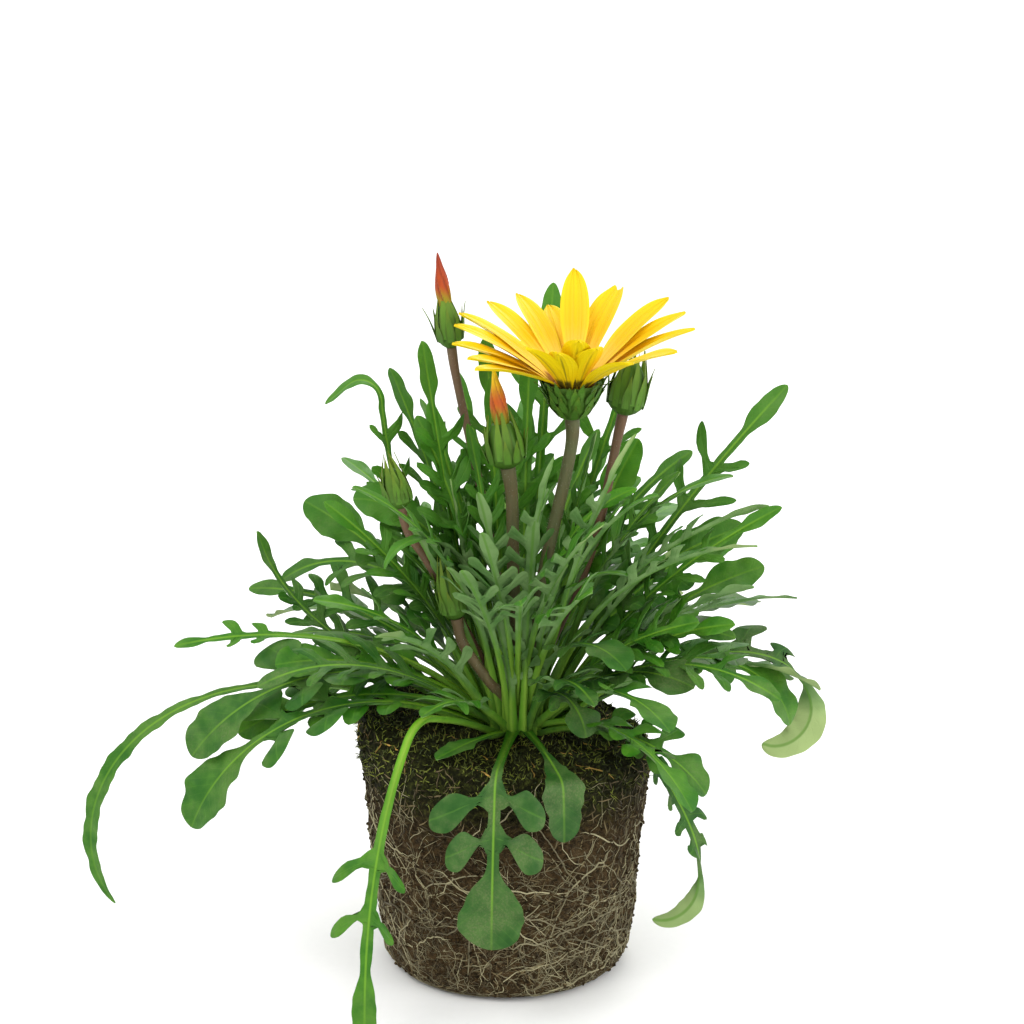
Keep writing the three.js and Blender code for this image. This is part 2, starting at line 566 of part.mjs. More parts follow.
const stalks = [HEAD_STALK, ...BUDS.map(({ stalk, foot, via }) => ({ radius: stalk, foot, via }))];

const group = new THREE.Group();
group.add(meshOf('soil_plug', plugSolid(), COLOURS.soil, 0.95));
group.add(meshOf('root_net', rootNetSolid(), COLOURS.root, 0.85));
group.add(meshOf('foliage', foliageSolid(stalks), COLOURS.leaf, 0.6));
OUTER_LEAVES.forEach((row, i) => group.add(meshOf(row[0], outerLeafSolid(row, i), COLOURS.leaf, 0.6)));

const headBase = headPlace.clone().addScaledVector(headAxis, -CUP_HEIGHT);
group.add(meshOf('flower_stalk', stalkSolid(stalks[0], headBase, headAxis), COLOURS.stalk, 0.7));
group.add(standing(headPlace, headAxis, [
  meshOf('flower_cup', headCupSolid(), COLOURS.cup, 0.7),
  meshOf('flower_petals', petalsSolid(), COLOURS.petal, 0.5),
  meshOf('flower_disc', discSolid(), COLOURS.disc, 0.8),
]));

BUDS.forEach((bud, i) => {
  const base = new THREE.Vector3(...bud.base);
  const axis = leanAxis(bud.lean);
  group.add(meshOf(`${bud.name}_stalk`, stalkSolid(stalks[i + 1], base, axis), COLOURS.stalk, 0.7));
  const pieces = [meshOf(`${bud.name}_cup`, budCupSolid(bud, i), COLOURS.cup, 0.7)];
  if (bud.petals > 0) {
    pieces.push(meshOf(`${bud.name}_petals`, budPetalsSolid(bud), i === 0 ? COLOURS.budRed : COLOURS.budOrange, 0.5));
  }
  group.add(standing(base, axis, pieces));
});

export default group;
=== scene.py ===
# %% [markdown]
# # A gazania lifted out of its pot
#
# A young gazania stands on its bare root plug: potting soil that kept the shape of its pot and is held
# together by roots, a rosette of lobed leaves, one open flower head and five buds. The CAD model gives every
# piece its place and its main form. This lesson grows the fine surface over it, piece by piece, and gives
# each one a finish. Sizes are in millimetres until a mesh is made, because plants are easier to think of
# in millimetres; Blender gets metres.

# %% Load the frame
import math
import random
from dataclasses import dataclass
from functools import lru_cache

import bpy
import numpy as np
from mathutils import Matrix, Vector, noise


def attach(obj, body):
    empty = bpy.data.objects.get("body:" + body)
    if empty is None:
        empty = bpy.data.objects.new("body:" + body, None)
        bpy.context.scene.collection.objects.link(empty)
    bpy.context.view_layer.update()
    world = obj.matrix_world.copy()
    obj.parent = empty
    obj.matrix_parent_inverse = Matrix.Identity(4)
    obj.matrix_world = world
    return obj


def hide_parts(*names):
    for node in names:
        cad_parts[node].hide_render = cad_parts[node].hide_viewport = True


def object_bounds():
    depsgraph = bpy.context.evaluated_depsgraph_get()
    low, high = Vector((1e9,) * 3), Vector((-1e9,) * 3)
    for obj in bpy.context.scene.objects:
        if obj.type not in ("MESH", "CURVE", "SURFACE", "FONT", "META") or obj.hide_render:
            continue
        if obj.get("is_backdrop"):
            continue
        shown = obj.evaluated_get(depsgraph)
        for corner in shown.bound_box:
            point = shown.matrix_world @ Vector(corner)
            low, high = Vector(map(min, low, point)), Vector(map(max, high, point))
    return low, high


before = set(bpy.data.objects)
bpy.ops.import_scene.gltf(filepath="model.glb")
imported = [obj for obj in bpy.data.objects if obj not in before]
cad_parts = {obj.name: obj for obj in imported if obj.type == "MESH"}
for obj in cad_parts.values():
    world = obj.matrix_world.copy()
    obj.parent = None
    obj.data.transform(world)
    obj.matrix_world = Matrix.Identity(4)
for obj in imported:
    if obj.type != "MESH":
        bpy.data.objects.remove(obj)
CAD_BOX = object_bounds()
MM = 0.001
print(len(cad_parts), "CAD nodes, box", [tuple(round(x, 3) for x in corner) for corner in CAD_BOX])

# %% [markdown]
# ## Driving sizes
# These are the sizes that the solids were built from. The fine pieces start from the same ones, so that a
# lobe, a petal or a root lies where its solid does, and nothing has to be fitted by eye.

# %% Driving sizes
PLUG_HEIGHT = 86.0
PLUG_TOP_RADIUS = 51.0
PLUG_BOTTOM_RADIUS = 42.0
PLUG_EDGE_RADIUS = 7.0
PLUG_SLOPE = 0.11
PLUG_RELIEF = 1.1
CROWN = np.array([4.0, -6.0, 0.0])
CROWN_RADIUS = 12.0
CROWN_TOP = 92.0
CROWN_BASE = 79.0
GAP = 0.3                             # between pieces that rest on each other
SOLID_BLADE = 1.5                    # thickness of the solids' blades at the rib
BLADE = 0.55                          # of a real leaf, away from its rib
HEAD_PLACE = np.array([22.0, -5.0, 207.5])
HEAD_LEAN = 6.0
CUP_RADIUS = 9.5
CUP_HEIGHT = 12.0
PETAL_WIDTH = 9.6
print("plug", PLUG_HEIGHT, "mm high and", 2 * PLUG_TOP_RADIUS, "mm across, flower head at", HEAD_PLACE)

# %% [markdown]
# ## Node trees that read like sums
# Materials and growth rules are node trees. Adding and linking nodes one by one hides the sum that they
# work out, so one small class wraps a socket: writing `1 - mask * 0.5` adds the Math nodes for it. Every
# other node comes from one method that takes its type, its settings and its inputs.

# %% Node trees that read like sums
def socket_named(sockets, key):
    """A socket by its index, its identifier or its name, among those that the settings leave in use."""
    used = [socket for socket in sockets if socket.enabled]
    if isinstance(key, int):
        return used[key]
    return next(socket for socket in used if key in (socket.identifier, socket.name))


class Wire:
    """What comes out of a socket; arithmetic on it adds Math nodes."""

    def __init__(self, tree, socket):
        self.tree = tree
        self.socket = socket

    def __getitem__(self, name):
        return Wire(self.tree, socket_named(self.socket.node.outputs, name))

    def __add__(self, other):
        return self.tree.reckon("ADD", self, other)

    def __sub__(self, other):
        return self.tree.reckon("SUBTRACT", self, other)

    def __mul__(self, other):
        return self.tree.reckon("MULTIPLY", self, other)

    def __truediv__(self, other):
        return self.tree.reckon("DIVIDE", self, other)

    def __pow__(self, other):
        return self.tree.reckon("POWER", self, other)

    def __rsub__(self, other):
        return self.tree.reckon("SUBTRACT", other, self)

    def __rtruediv__(self, other):
        return self.tree.reckon("DIVIDE", other, self)

    def __abs__(self):
        return self.tree.reckon("ABSOLUTE", self)

    __radd__ = __add__
    __rmul__ = __mul__

    def sine(self):
        return self.tree.reckon("SINE", self)

    def smooth(self, low, high):
        """0 below low, 1 above high and an easy S in between."""
        limits = {"Value": self, "From Min": low, "From Max": high}
        return self.tree.node("ShaderNodeMapRange", {"interpolation_type": "SMOOTHSTEP"}, limits)


class Tree:
    """A node tree that nodes are added to by type, settings and inputs."""

    def __init__(self, tree):
        self.tree = tree

    def node(self, kind, settings=None, inputs=None, output=0):
        made = self.tree.nodes.new(kind)
        for key, value in (settings or {}).items():
            setattr(made, key, value)
        for key, value in (inputs or {}).items():
            socket = socket_named(made.inputs, key)
            if isinstance(value, Wire):
                self.tree.links.new(value.socket, socket)
            else:
                socket.default_value = value
        return Wire(self, socket_named(made.outputs, output)) if made.outputs else None

    def reckon(self, operation, *values):
        """One step of a sum: a Math node."""
        return self.node("ShaderNodeMath", {"operation": operation}, dict(enumerate(values)))


class Finish(Tree):
    """A material in the making."""

    def __init__(self, name):
        self.material = bpy.data.materials.new(name)
        self.material.use_nodes = True
        super().__init__(self.material.node_tree)
        self.tree.nodes.clear()
        self.place = self.node("ShaderNodeTexCoord", output="Object")

    def mark(self, name):
        """The three values that a piece's attribute carries."""
        vector = self.node("ShaderNodeAttribute", {"attribute_name": name}, output="Vector")
        apart = self.node("ShaderNodeSeparateXYZ", None, {"Vector": vector})
        return apart["X"], apart["Y"], apart["Z"]

    def grain(self, size, detail=2.0, stretch=(1.0, 1.0, 1.0), rough=0.5):
        """Noise whose blots are about size mm across."""
        place = self.node("ShaderNodeMapping", None, {"Vector": self.place, "Scale": stretch})
        inputs = {"Vector": place, "Scale": 1 / (size * MM), "Detail": detail, "Roughness": rough}
        return self.node("ShaderNodeTexNoise", None, inputs)

    def mix(self, factor, a, b):
        return self.node("ShaderNodeMix", {"data_type": "RGBA"}, {"Factor": factor, "A": a, "B": b}, "Result")

    def done(self, colour, roughness, height=None, depth=0.3, **constants):
        """Closes the tree; height is bump in parts of depth, which is in mm."""
        inputs = {"Base Color": colour, "Roughness": roughness}
        inputs.update({key.replace("_", " "): value for key, value in constants.items()})
        if height is not None:
            inputs["Normal"] = self.node("ShaderNodeBump", None, {"Height": height, "Distance": depth * MM})
        shader = self.node("ShaderNodeBsdfPrincipled", None, inputs)
        self.node("ShaderNodeOutputMaterial", None, {"Surface": shader})
        return self.material


def shade(red, green, blue):
    return (red, green, blue, 1.0)


print("node tools ready")

# %% [markdown]
# ## Camera, floor and light
# The camera looks down at the plant by sixteen degrees from nearly a metre away through a long lens, as one
# photographs a small plant on a table. A wide pale floor fills the view. One lamp alone would give hard
# shadows between the lobes. Large area lamps on both sides and behind, under a bright white sky, give the
# even light of a light tent, so that leaves shade each other softly.

# %% Camera, floor and light
CAMERA_PLACE = np.array([2.0, -924.0, 427.0])
CAMERA_PITCH = 16.05                  # degrees below the horizon
CAMERA_FOCUS = 2855.0                 # focal length in pixels of a frame 1024 wide
FRAME_WIDTH = 1024

scene = bpy.context.scene
scene.view_settings.view_transform = "Standard"


def linked(name, data):
    made = bpy.data.objects.new(name, data)
    scene.collection.objects.link(made)
    return made


def aim(thing, place, target):
    thing.location = Vector(place) * MM
    thing.rotation_euler = (Vector(target) - Vector(place)).to_track_quat("-Z", "Y").to_euler()


def lamp(name, place, size, watts, colour):
    data = bpy.data.lights.new(name, "AREA")
    data.shape = "DISK"
    data.size = size * MM
    data.energy = watts
    data.color = colour
    aim(linked(name, data), place, (0, 0, 110))


camera = linked("camera", bpy.data.cameras.new("camera"))
camera.data.lens = camera.data.sensor_width * CAMERA_FOCUS / FRAME_WIDTH
camera.data.clip_end = 20
camera.location = Vector(CAMERA_PLACE) * MM
camera.rotation_euler = (math.radians(90 - CAMERA_PITCH), 0, 0)
scene.camera = camera

lamp("lamp_left", (-600, -700, 1200), 600, 6, (1.0, 0.98, 0.95))
lamp("lamp_right", (900, -700, 700), 900, 6, (1.0, 1.0, 0.98))
lamp("lamp_back", (200, 900, 900), 700, 5, (1.0, 1.0, 0.97))

scene.world = bpy.data.worlds.new("sky")
scene.world.use_nodes = True
sky = scene.world.node_tree.nodes["Background"]
sky.inputs["Color"].default_value = shade(1.0, 1.0, 1.0)
sky.inputs["Strength"].default_value = 1.15

floor_data = bpy.data.meshes.new("floor")
FLOOR = 6.0
corners = [(-FLOOR, -FLOOR, 0), (FLOOR, -FLOOR, 0), (FLOOR, FLOOR, 0), (-FLOOR, FLOOR, 0)]
floor_data.from_pydata(corners, [], [(0, 1, 2, 3)])
floor = linked("floor", floor_data)
floor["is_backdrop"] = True
paper = Finish("paper")
pale = paper.mix(paper.grain(3), shade(0.89, 0.89, 0.89), shade(0.92, 0.92, 0.92))
floor_data.materials.append(paper.done(pale, 0.9))
print("camera lens", round(camera.data.lens, 1), "mm")

# %% [markdown]
# ## Ribs
# Leaves, petals and bracts are all blades on a bent rib. A curve with a bevel could carry them, but it
# doesn't know how far a blade leans or twists. Here the rib is a list of places, each with a direction to
# the side and one upwards, and anything can be asked of it by its distance from the start in millimetres.

# %% Ribs
def unit(vectors):
    return vectors / np.linalg.norm(vectors, axis=-1, keepdims=True)


def smooth(low, high, value):
    """0 at low, 1 at high and an easy S in between; low may be the greater of the two."""
    part = np.clip((value - low) / (high - low), 0, 1)
    return part * part * (3 - 2 * part)


def swung(vectors, axis, degrees):
    """Vectors turned about an axis, row by row."""
    angle = np.radians(degrees)[..., None]
    along = axis * np.sum(axis * vectors, axis=-1, keepdims=True)
    return vectors * np.cos(angle) + np.cross(axis, vectors) * np.sin(angle) + along * (1 - np.cos(angle))


class Rib:
    """A bent rib with a side and an up direction all along it."""

    def __init__(self, points, along, side, start=0.0):
        steps = np.linalg.norm(np.diff(points, axis=0), axis=1)
        self.reach = start + np.concatenate([[0.0], np.cumsum(steps)])
        self.points = points
        self.along = unit(along)
        self.side = unit(side)
        self.up = unit(np.cross(self.along, self.side))
        self.slope = np.gradient(points, self.reach, axis=0)

    def at(self, distance):
        """Place, side and up at each distance; past its end the rib goes straight on."""
        inside = np.clip(distance, self.reach[0], self.reach[-1])
        i = np.clip(np.searchsorted(self.reach, inside, side="right") - 1, 0, len(self.reach) - 2)
        gap = (self.reach[i + 1] - self.reach[i])[..., None]
        t = (inside - self.reach[i])[..., None] / gap
        turn = self.slope[i] * (t * (1 - t) ** 2) - self.slope[i + 1] * (t * t * (1 - t))
        blend = t * t * (3 - 2 * t)
        point = self.points[i] * (1 - blend) + self.points[i + 1] * blend + turn * gap
        side, up = (unit(values[i] * (1 - t) + values[i + 1] * t) for values in (self.side, self.up))
        beyond = np.maximum(distance - self.reach[-1], 0)[..., None]
        return point + self.along[-1] * beyond, side, up

    def bend(self, distance):
        """How far, in radians, the rib turns from one of the distances to the next."""
        along = np.stack([np.interp(distance, self.reach, self.along[:, k]) for k in range(3)], axis=-1)
        return np.linalg.norm(np.diff(along, axis=0), axis=1)


def bent_rib(start, heading, length, lift, end, turn=0, hold=1, roll=0, kink_at=0, kink_by=0, tip_turn=0):
    """A rib that leaves start at its heading and lift, and ends at the angle end, all in degrees."""
    steps = 40
    s = np.linspace(0, 1, steps + 1)
    kink = kink_by * np.clip((s - kink_at) / 0.1 + 0.5, 0, 1)
    angle = np.radians(lift + (end - lift) * s**hold - kink)
    way = np.radians(heading + turn * s)
    along = np.stack([np.cos(angle) * np.cos(way), np.cos(angle) * np.sin(way), np.sin(angle)], axis=1)
    rolled = roll * s + tip_turn * smooth(0.60, 0.85, s)
    side = swung(np.stack([-np.sin(way), np.cos(way), 0 * way], axis=1), along, rolled)
    points = start + np.vstack([np.zeros(3), np.cumsum(along[:-1], axis=0)]) * length / steps
    return Rib(points, along, side)


print("a rib of 100 mm has", len(bent_rib(np.zeros(3), 0, 100, 30, -30).points), "places")

# %% [markdown]
# ## Strips
# A real blade is half a millimetre thick, with a channel along the rib above and a keel below. A plane with
# a Solidify modifier would give the thickness but not the channel and keel, so a strip is made as rows of
# points across the rib, above and below, which share their two edges and are closed at both ends. Each
# point also keeps how far it lies across and along, and whether it is on the underside, for the finishes.

# %% Strips
@lru_cache
def strip_faces(rows, columns):
    """Faces of a closed strip whose rows hold their top points first and then the inner under points."""
    per_row = 2 * columns - 2

    def top(row, k):
        return row * per_row + k

    def under(row, k):
        return top(row, k) if k in (0, columns - 1) else row * per_row + columns + k - 1

    faces = []
    for row in range(rows - 1):
        for k in range(columns - 1):
            faces.append((top(row, k), top(row + 1, k), top(row + 1, k + 1), top(row, k + 1)))
            faces.append((under(row, k), under(row, k + 1), under(row + 1, k + 1), under(row + 1, k)))
    for row, order in ((0, 1), (rows - 1, -1)):
        for k in range(columns - 1):
            ring = (top(row, k), top(row, k + 1), under(row, k + 1), under(row, k))
            faces.append(tuple(dict.fromkeys(ring))[::order])
    return faces


def round_trip(values):
    """Values of a strip's top points, repeated for its inner under points."""
    return np.concatenate([values, values[:, 1:-1]], axis=1).reshape(-1)


class Heap:
    """Collects closed meshes, in mm, with what each point tells the finish."""

    def __init__(self):
        self.points = []
        self.faces = []
        self.marks = {"blade": [], "growth": []}
        self.count = 0

    def add(self, points, faces, blade, growth):
        self.points.append(points)
        self.faces.extend(tuple(i + self.count for i in face) for face in faces)
        self.marks["blade"].append(np.broadcast_to(blade, points.shape))
        self.marks["growth"].append(np.broadcast_to(growth, points.shape))
        self.count += len(points)

    def strip(self, rib, distance, across, middle, above, below, growth, place=None):
        """Adds a closed strip; all but growth hold one value, in mm, for each row and column."""
        point, side, up = rib.at(distance)
        flat = point + side * across[..., None]
        top = flat + up * (middle + above)[..., None]
        under = flat + up * (middle - below)[..., None]
        points = np.concatenate([top, under[:, 1:-1]], axis=1).reshape(-1, 3)
        if place:
            points = place(points)
        side_mark = np.concatenate([0 * across, 0 * across[:, 1:-1] + 1], axis=1)
        side_mark[:, [0, across.shape[1] - 1]] = 0.5
        blade = np.stack([round_trip(across), round_trip(distance), side_mark.reshape(-1)], axis=1)
        marks = np.stack([round_trip(np.broadcast_to(g, across.shape)) for g in growth], axis=1)
        self.add(points, strip_faces(*across.shape), blade, marks)

    def piece(self, name, material, slot, *nodes, crease=40):
        """Makes the mesh, lets it ride on the plant and stand for the given CAD nodes."""
        data = bpy.data.meshes.new(name)
        data.from_pydata(np.concatenate(self.points) * MM, [], self.faces)
        for mark, values in self.marks.items():
            layer = data.attributes.new(mark, "FLOAT_VECTOR", "POINT")
            layer.data.foreach_set("vector", np.concatenate(values).astype(np.float32).reshape(-1))
        return finished(name, data, material, slot, *nodes, crease=crease)


def finished(name, data, material, slot, *nodes, crease=40):
    data.materials.clear()
    data.materials.append(material)
    data.shade_smooth()
    data.set_sharp_from_angle(angle=math.radians(crease))
    made = linked(name, data)
    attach(made, "root")
    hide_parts(*nodes)
    triangles = sum(len(face.vertices) - 2 for face in data.polygons)
    print(f"{name}: {triangles} triangles")
    return made


def columns(half, foot, count=9, crisp=0.8):
    """Places across a blade from -1 to 1 in every row; the inner ones keep to the rib and a lobe's foot."""
    outer = np.linspace(-1, 1, count)
    wide = np.broadcast_to(outer, (len(half), count)).copy()
    for step, kept in ((1, crisp), (2, foot)):
        place = np.minimum(outer[count // 2 + step], kept / half)
        wide[:, count // 2 + step] = place
        wide[:, count // 2 - step] = -place
    return wide


print("a strip of 50 rows and 9 columns has", len(strip_faces(50, 9)), "faces")

# %% [markdown]
# ## Leaf finish
# A gazania leaf is deep green and slightly felted above, with a thin pale rib, and it fades to bright
# green on its long stalk; below it is pale grey-green. High up the leaves are fresher and carry less dust
# and painted sheen than low down. Image textures could show that, but would need unwrapping for hundreds
# of lobes. The finish reads the marks on the mesh instead: the distance across draws the rib, the distance
# from a lobe's own line its vein, and noise gives blotches and a pale coat that is partly dust and partly
# painted sheen.

# %% Leaf finish
NO_VEIN = 99.0                        # marks places that belong to no side lobe
FRESH_FROM, FRESH_AT = 110, 180       # mm above the floor, between which leaves turn a fresher green


def leaf_finish():
    leaf = Finish("leaf")
    across, along, under = leaf.mark("blade")
    stalk_or_tip, tone, vein_off = leaf.mark("growth")
    stalk = leaf.reckon("MAXIMUM", stalk_or_tip, 0.0)
    tip = leaf.reckon("MAXIMUM", stalk_or_tip * -1, 0.0)
    blot = leaf.grain(11, 3)
    cloud = leaf.grain(4, 3)
    speck = leaf.grain(0.7, 3, rough=0.7)
    felt = leaf.grain(0.35, 1)
    blade = 1 - stalk

    deep = leaf.mix(tone, shade(0.009, 0.056, 0.005), shade(0.020, 0.122, 0.003))
    light = leaf.mix(tone, shade(0.040, 0.112, 0.021), shade(0.074, 0.232, 0.010))
    green = leaf.mix((blot * 0.8 + cloud * 0.7 - 0.25).smooth(0.2, 0.85), deep, light)
    height = leaf.node("ShaderNodeSeparateXYZ", None, {"Vector": leaf.place})["Z"] / MM
    fresh = height.smooth(FRESH_FROM, FRESH_AT)
    green = leaf.mix(fresh * 0.45, green, shade(0.060, 0.235, 0.006))
    # Real dust and painted sheen: a pale grey-olive over blots of the blade, less on young and high leaves.
    dust_and_sheen = (speck.smooth(0.44, 0.66) * 0.7 + 0.3) * blot.smooth(0.36, 0.66) * (0.50 - tone * 0.34) * blade
    dusted_and_sheened = leaf.mix(dust_and_sheen * (1 - fresh * 0.6), green, shade(0.160, 0.172, 0.076))

    netting = (along * 1.9 - abs(across) * 1.5).sine().smooth(0.86, 1.0) * abs(across).smooth(0.4, 1.4)
    netting = netting * abs(vein_off).smooth(20.0, 60.0) * cloud
    lobe_vein = (1 - abs(vein_off).smooth(0.08, 0.34)) * abs(across).smooth(0.6, 1.6)
    veins = netting * 0.5 + lobe_vein * 0.6
    veined = leaf.mix(veins * 0.45 * blade, dusted_and_sheened, shade(0.085, 0.230, 0.020))
    rib = (1 - abs(across).smooth(0.12, 0.62)) * (1 - tip * 0.75)
    ribbed = leaf.mix(rib * 0.62 * blade, veined, shade(0.17, 0.37, 0.022))

    streak = leaf.grain(1.4, 2, (1.0, 1.0, 0.12))
    stem = leaf.mix((streak * 0.7 + tone * 0.7 - 0.2).smooth(0.2, 0.9), shade(0.016, 0.090, 0.001),
                    shade(0.120, 0.320, 0.004))
    rimmed = leaf.mix(abs(across).smooth(0.9, 2.0) * 0.6, stem, shade(0.018, 0.085, 0.003))
    pith = 1 - abs(across).smooth(0.15, 1.3)
    channel = leaf.mix(pith * (tone * 0.5 + 0.15), rimmed, shade(0.25, 0.40, 0.045))
    top = leaf.mix(stalk, ribbed, channel)

    pale = leaf.mix(blot.smooth(0.3, 0.7), shade(0.070, 0.170, 0.038), shade(0.170, 0.290, 0.100))
    pale = leaf.mix(tip.smooth(0.0, 0.35) * (1 - tone) ** 2, pale, shade(0.38, 0.48, 0.19))
    keel = 1 - abs(across).smooth(0.15, 0.85)
    below = leaf.mix(keel * 0.65, pale, shade(0.085, 0.22, 0.02))
    side = under.smooth(0.48, 0.52)
    colour = leaf.mix(side * (1 - stalk * 0.8), top, below)
    relief = rib * -0.3 + veins * -0.25 + felt * 0.08 + cloud * 0.45
    return leaf.done(colour, 0.42 + side * 0.3 + speck * 0.2, relief, 0.45, Specular_IOR_Level=0.22)


LEAF = leaf_finish()
print("leaf finish:", len(LEAF.node_tree.nodes), "nodes")

# %% [markdown]
# ## Leaves
# A few sorts of leaf grow from one crown: straps without lobes, narrow, broad and round ones with two to
# four pairs of lobes, one with a long bare stalk, and slender young ones. Modelling more than a hundred of
# them by hand would take weeks, and copies of one would look copied. So a leaf is a row of numbers that a
# rule turns into a blade. The leaves that show well have a row each. Those that only fill the middle and
# the ring draw theirs at random, and turn by the golden angle as the leaves of a rosette do.

# %% Sorts of leaf
@dataclass(frozen=True)
class Sort:
    bare: float                       # part of the length that is only stalk
    pairs: int                        # lobes on each side
    reach: float                      # of one lobe
    width: float                      # of one lobe
    forward: float                    # how far a lobe leans to the tip, per mm of reach
    tip: float                        # half the width of the end lobe
    tip_length: float                 # part of the length that the end lobe takes
    stalk: float                      # half the width of the stalk
    spread: float                     # how much a lobe widens from its foot outwards


STRAP = Sort(0.36, 0, 0, 0, 0, 4.2, 0.64, 1.5, 0)
NARROW = Sort(0.38, 4, 14, 4.4, 0.9, 3.8, 0.18, 1.5, 1.1)
SHORT = Sort(0.38, 3, 14, 4.4, 0.9, 3.8, 0.22, 1.5, 1.1)
BROAD = Sort(0.36, 3, 14, 8, 0.5, 8.5, 0.28, 1.7, 1.3)
ROUND = Sort(0.40, 2, 18, 13, 0.45, 10, 0.30, 1.8, 1.5)
LONG = Sort(0.58, 2, 14, 5.5, 0.7, 4.4, 0.20, 1.9, 1.0)
YOUNG = Sort(0.56, 3, 12, 3.4, 1.0, 3.0, 0.20, 1.2, 1.2)
KNOBBLY = Sort(0.36, 4, 8, 5.5, 0.5, 4.6, 0.28, 2.0, 0.9)     # short round lobes on a stout rib
FRILLED = Sort(0.36, 3, 10, 8, 0.6, 6.0, 0.30, 2.2, 1.2)      # curls over and shows its underside
THIN = Sort(0.72, 2, 6, 3.2, 0.8, 2.0, 0.12, 1.3, 1.2)        # little more than a pale rib


@dataclass(frozen=True)
class Leaf:
    name: str
    sort: Sort
    heading: float                    # degrees from the right, by way of the back
    length: float
    lift: float                       # degrees above the level where it starts
    end: float                        # the same at its tip
    turn: float                       # degrees that its heading turns on the way
    hold: float                       # how long it keeps its lift; 1 bends evenly
    size: float                       # of its lobes, as a part of its sort's
    roll: float                       # degrees that it rolls from start to tip
    kink_at: float                    # part of the length at which it is bent down
    kink_by: float                    # and by how many degrees


# Leaves around the outside, each with a CAD node of its own.
OUTER_LEAVES = [
    Leaf("left_rising", NARROW, 168, 104, 25, 80, 16, 2.4, 0.88, -30, 0, 0),
    Leaf("left_far", STRAP, 184, 190, 20, -128, 2, 1.9, 0.8, -62, 0, 0),
    Leaf("left_trailing", ROUND, 201, 120, 29, -72, -6, 1.3, 1.0, -30, 0, 0),
    Leaf("front_left_hanging", LONG, 229, 152, 30, -30, 28, 1.0, 1.0, 0, 0.27, 62),
    Leaf("front_left_short", STRAP, 245.5, 38, 16, -10, -22, 1.0, 1.1, 0, 0, 0),
    Leaf("front_broad", ROUND, 262, 97, 4, -14, 0, 1.0, 1.1, 0, 0.40, 72),
    Leaf("front_strap", STRAP, 286, 60, 4, -20, 0, 1.0, 1.6, 0, 0.66, 70),
    Leaf("right_hanging", KNOBBLY, 336, 112, 4, -140, 8, 4.5, 0.8, 48, 0.26, 58),
    Leaf("right_drooping", BROAD, 316, 68, 25, -58, 36, 1.2, 1.0, 20, 0, 0),
    Leaf("right_low", BROAD, 353, 98, 40, -85, 2, 2.0, 0.9, 30, 0, 0),
    Leaf("right_curling", FRILLED, 9, 130, 25, -215, -6, 3.2, 1.0, 46, 0, 0),
    Leaf("back_right_low", BROAD, 34, 98, 36, -12, 0, 1.2, 0.9, 0, 0, 0),
    Leaf("back_right", NARROW, 60, 118, 34, -36, 0, 1.4, 1.0, 0, 0, 0),
    Leaf("back", BROAD, 88, 112, 30, -44, 0, 1.4, 1.0, 0, 0, 0),
    Leaf("back_left", NARROW, 116, 112, 34, -36, 0, 1.4, 1.0, 0, 0, 0),
    Leaf("back_left_low", BROAD, 142, 108, 34, -30, 0, 1.4, 1.0, 0, 0, 0),
]

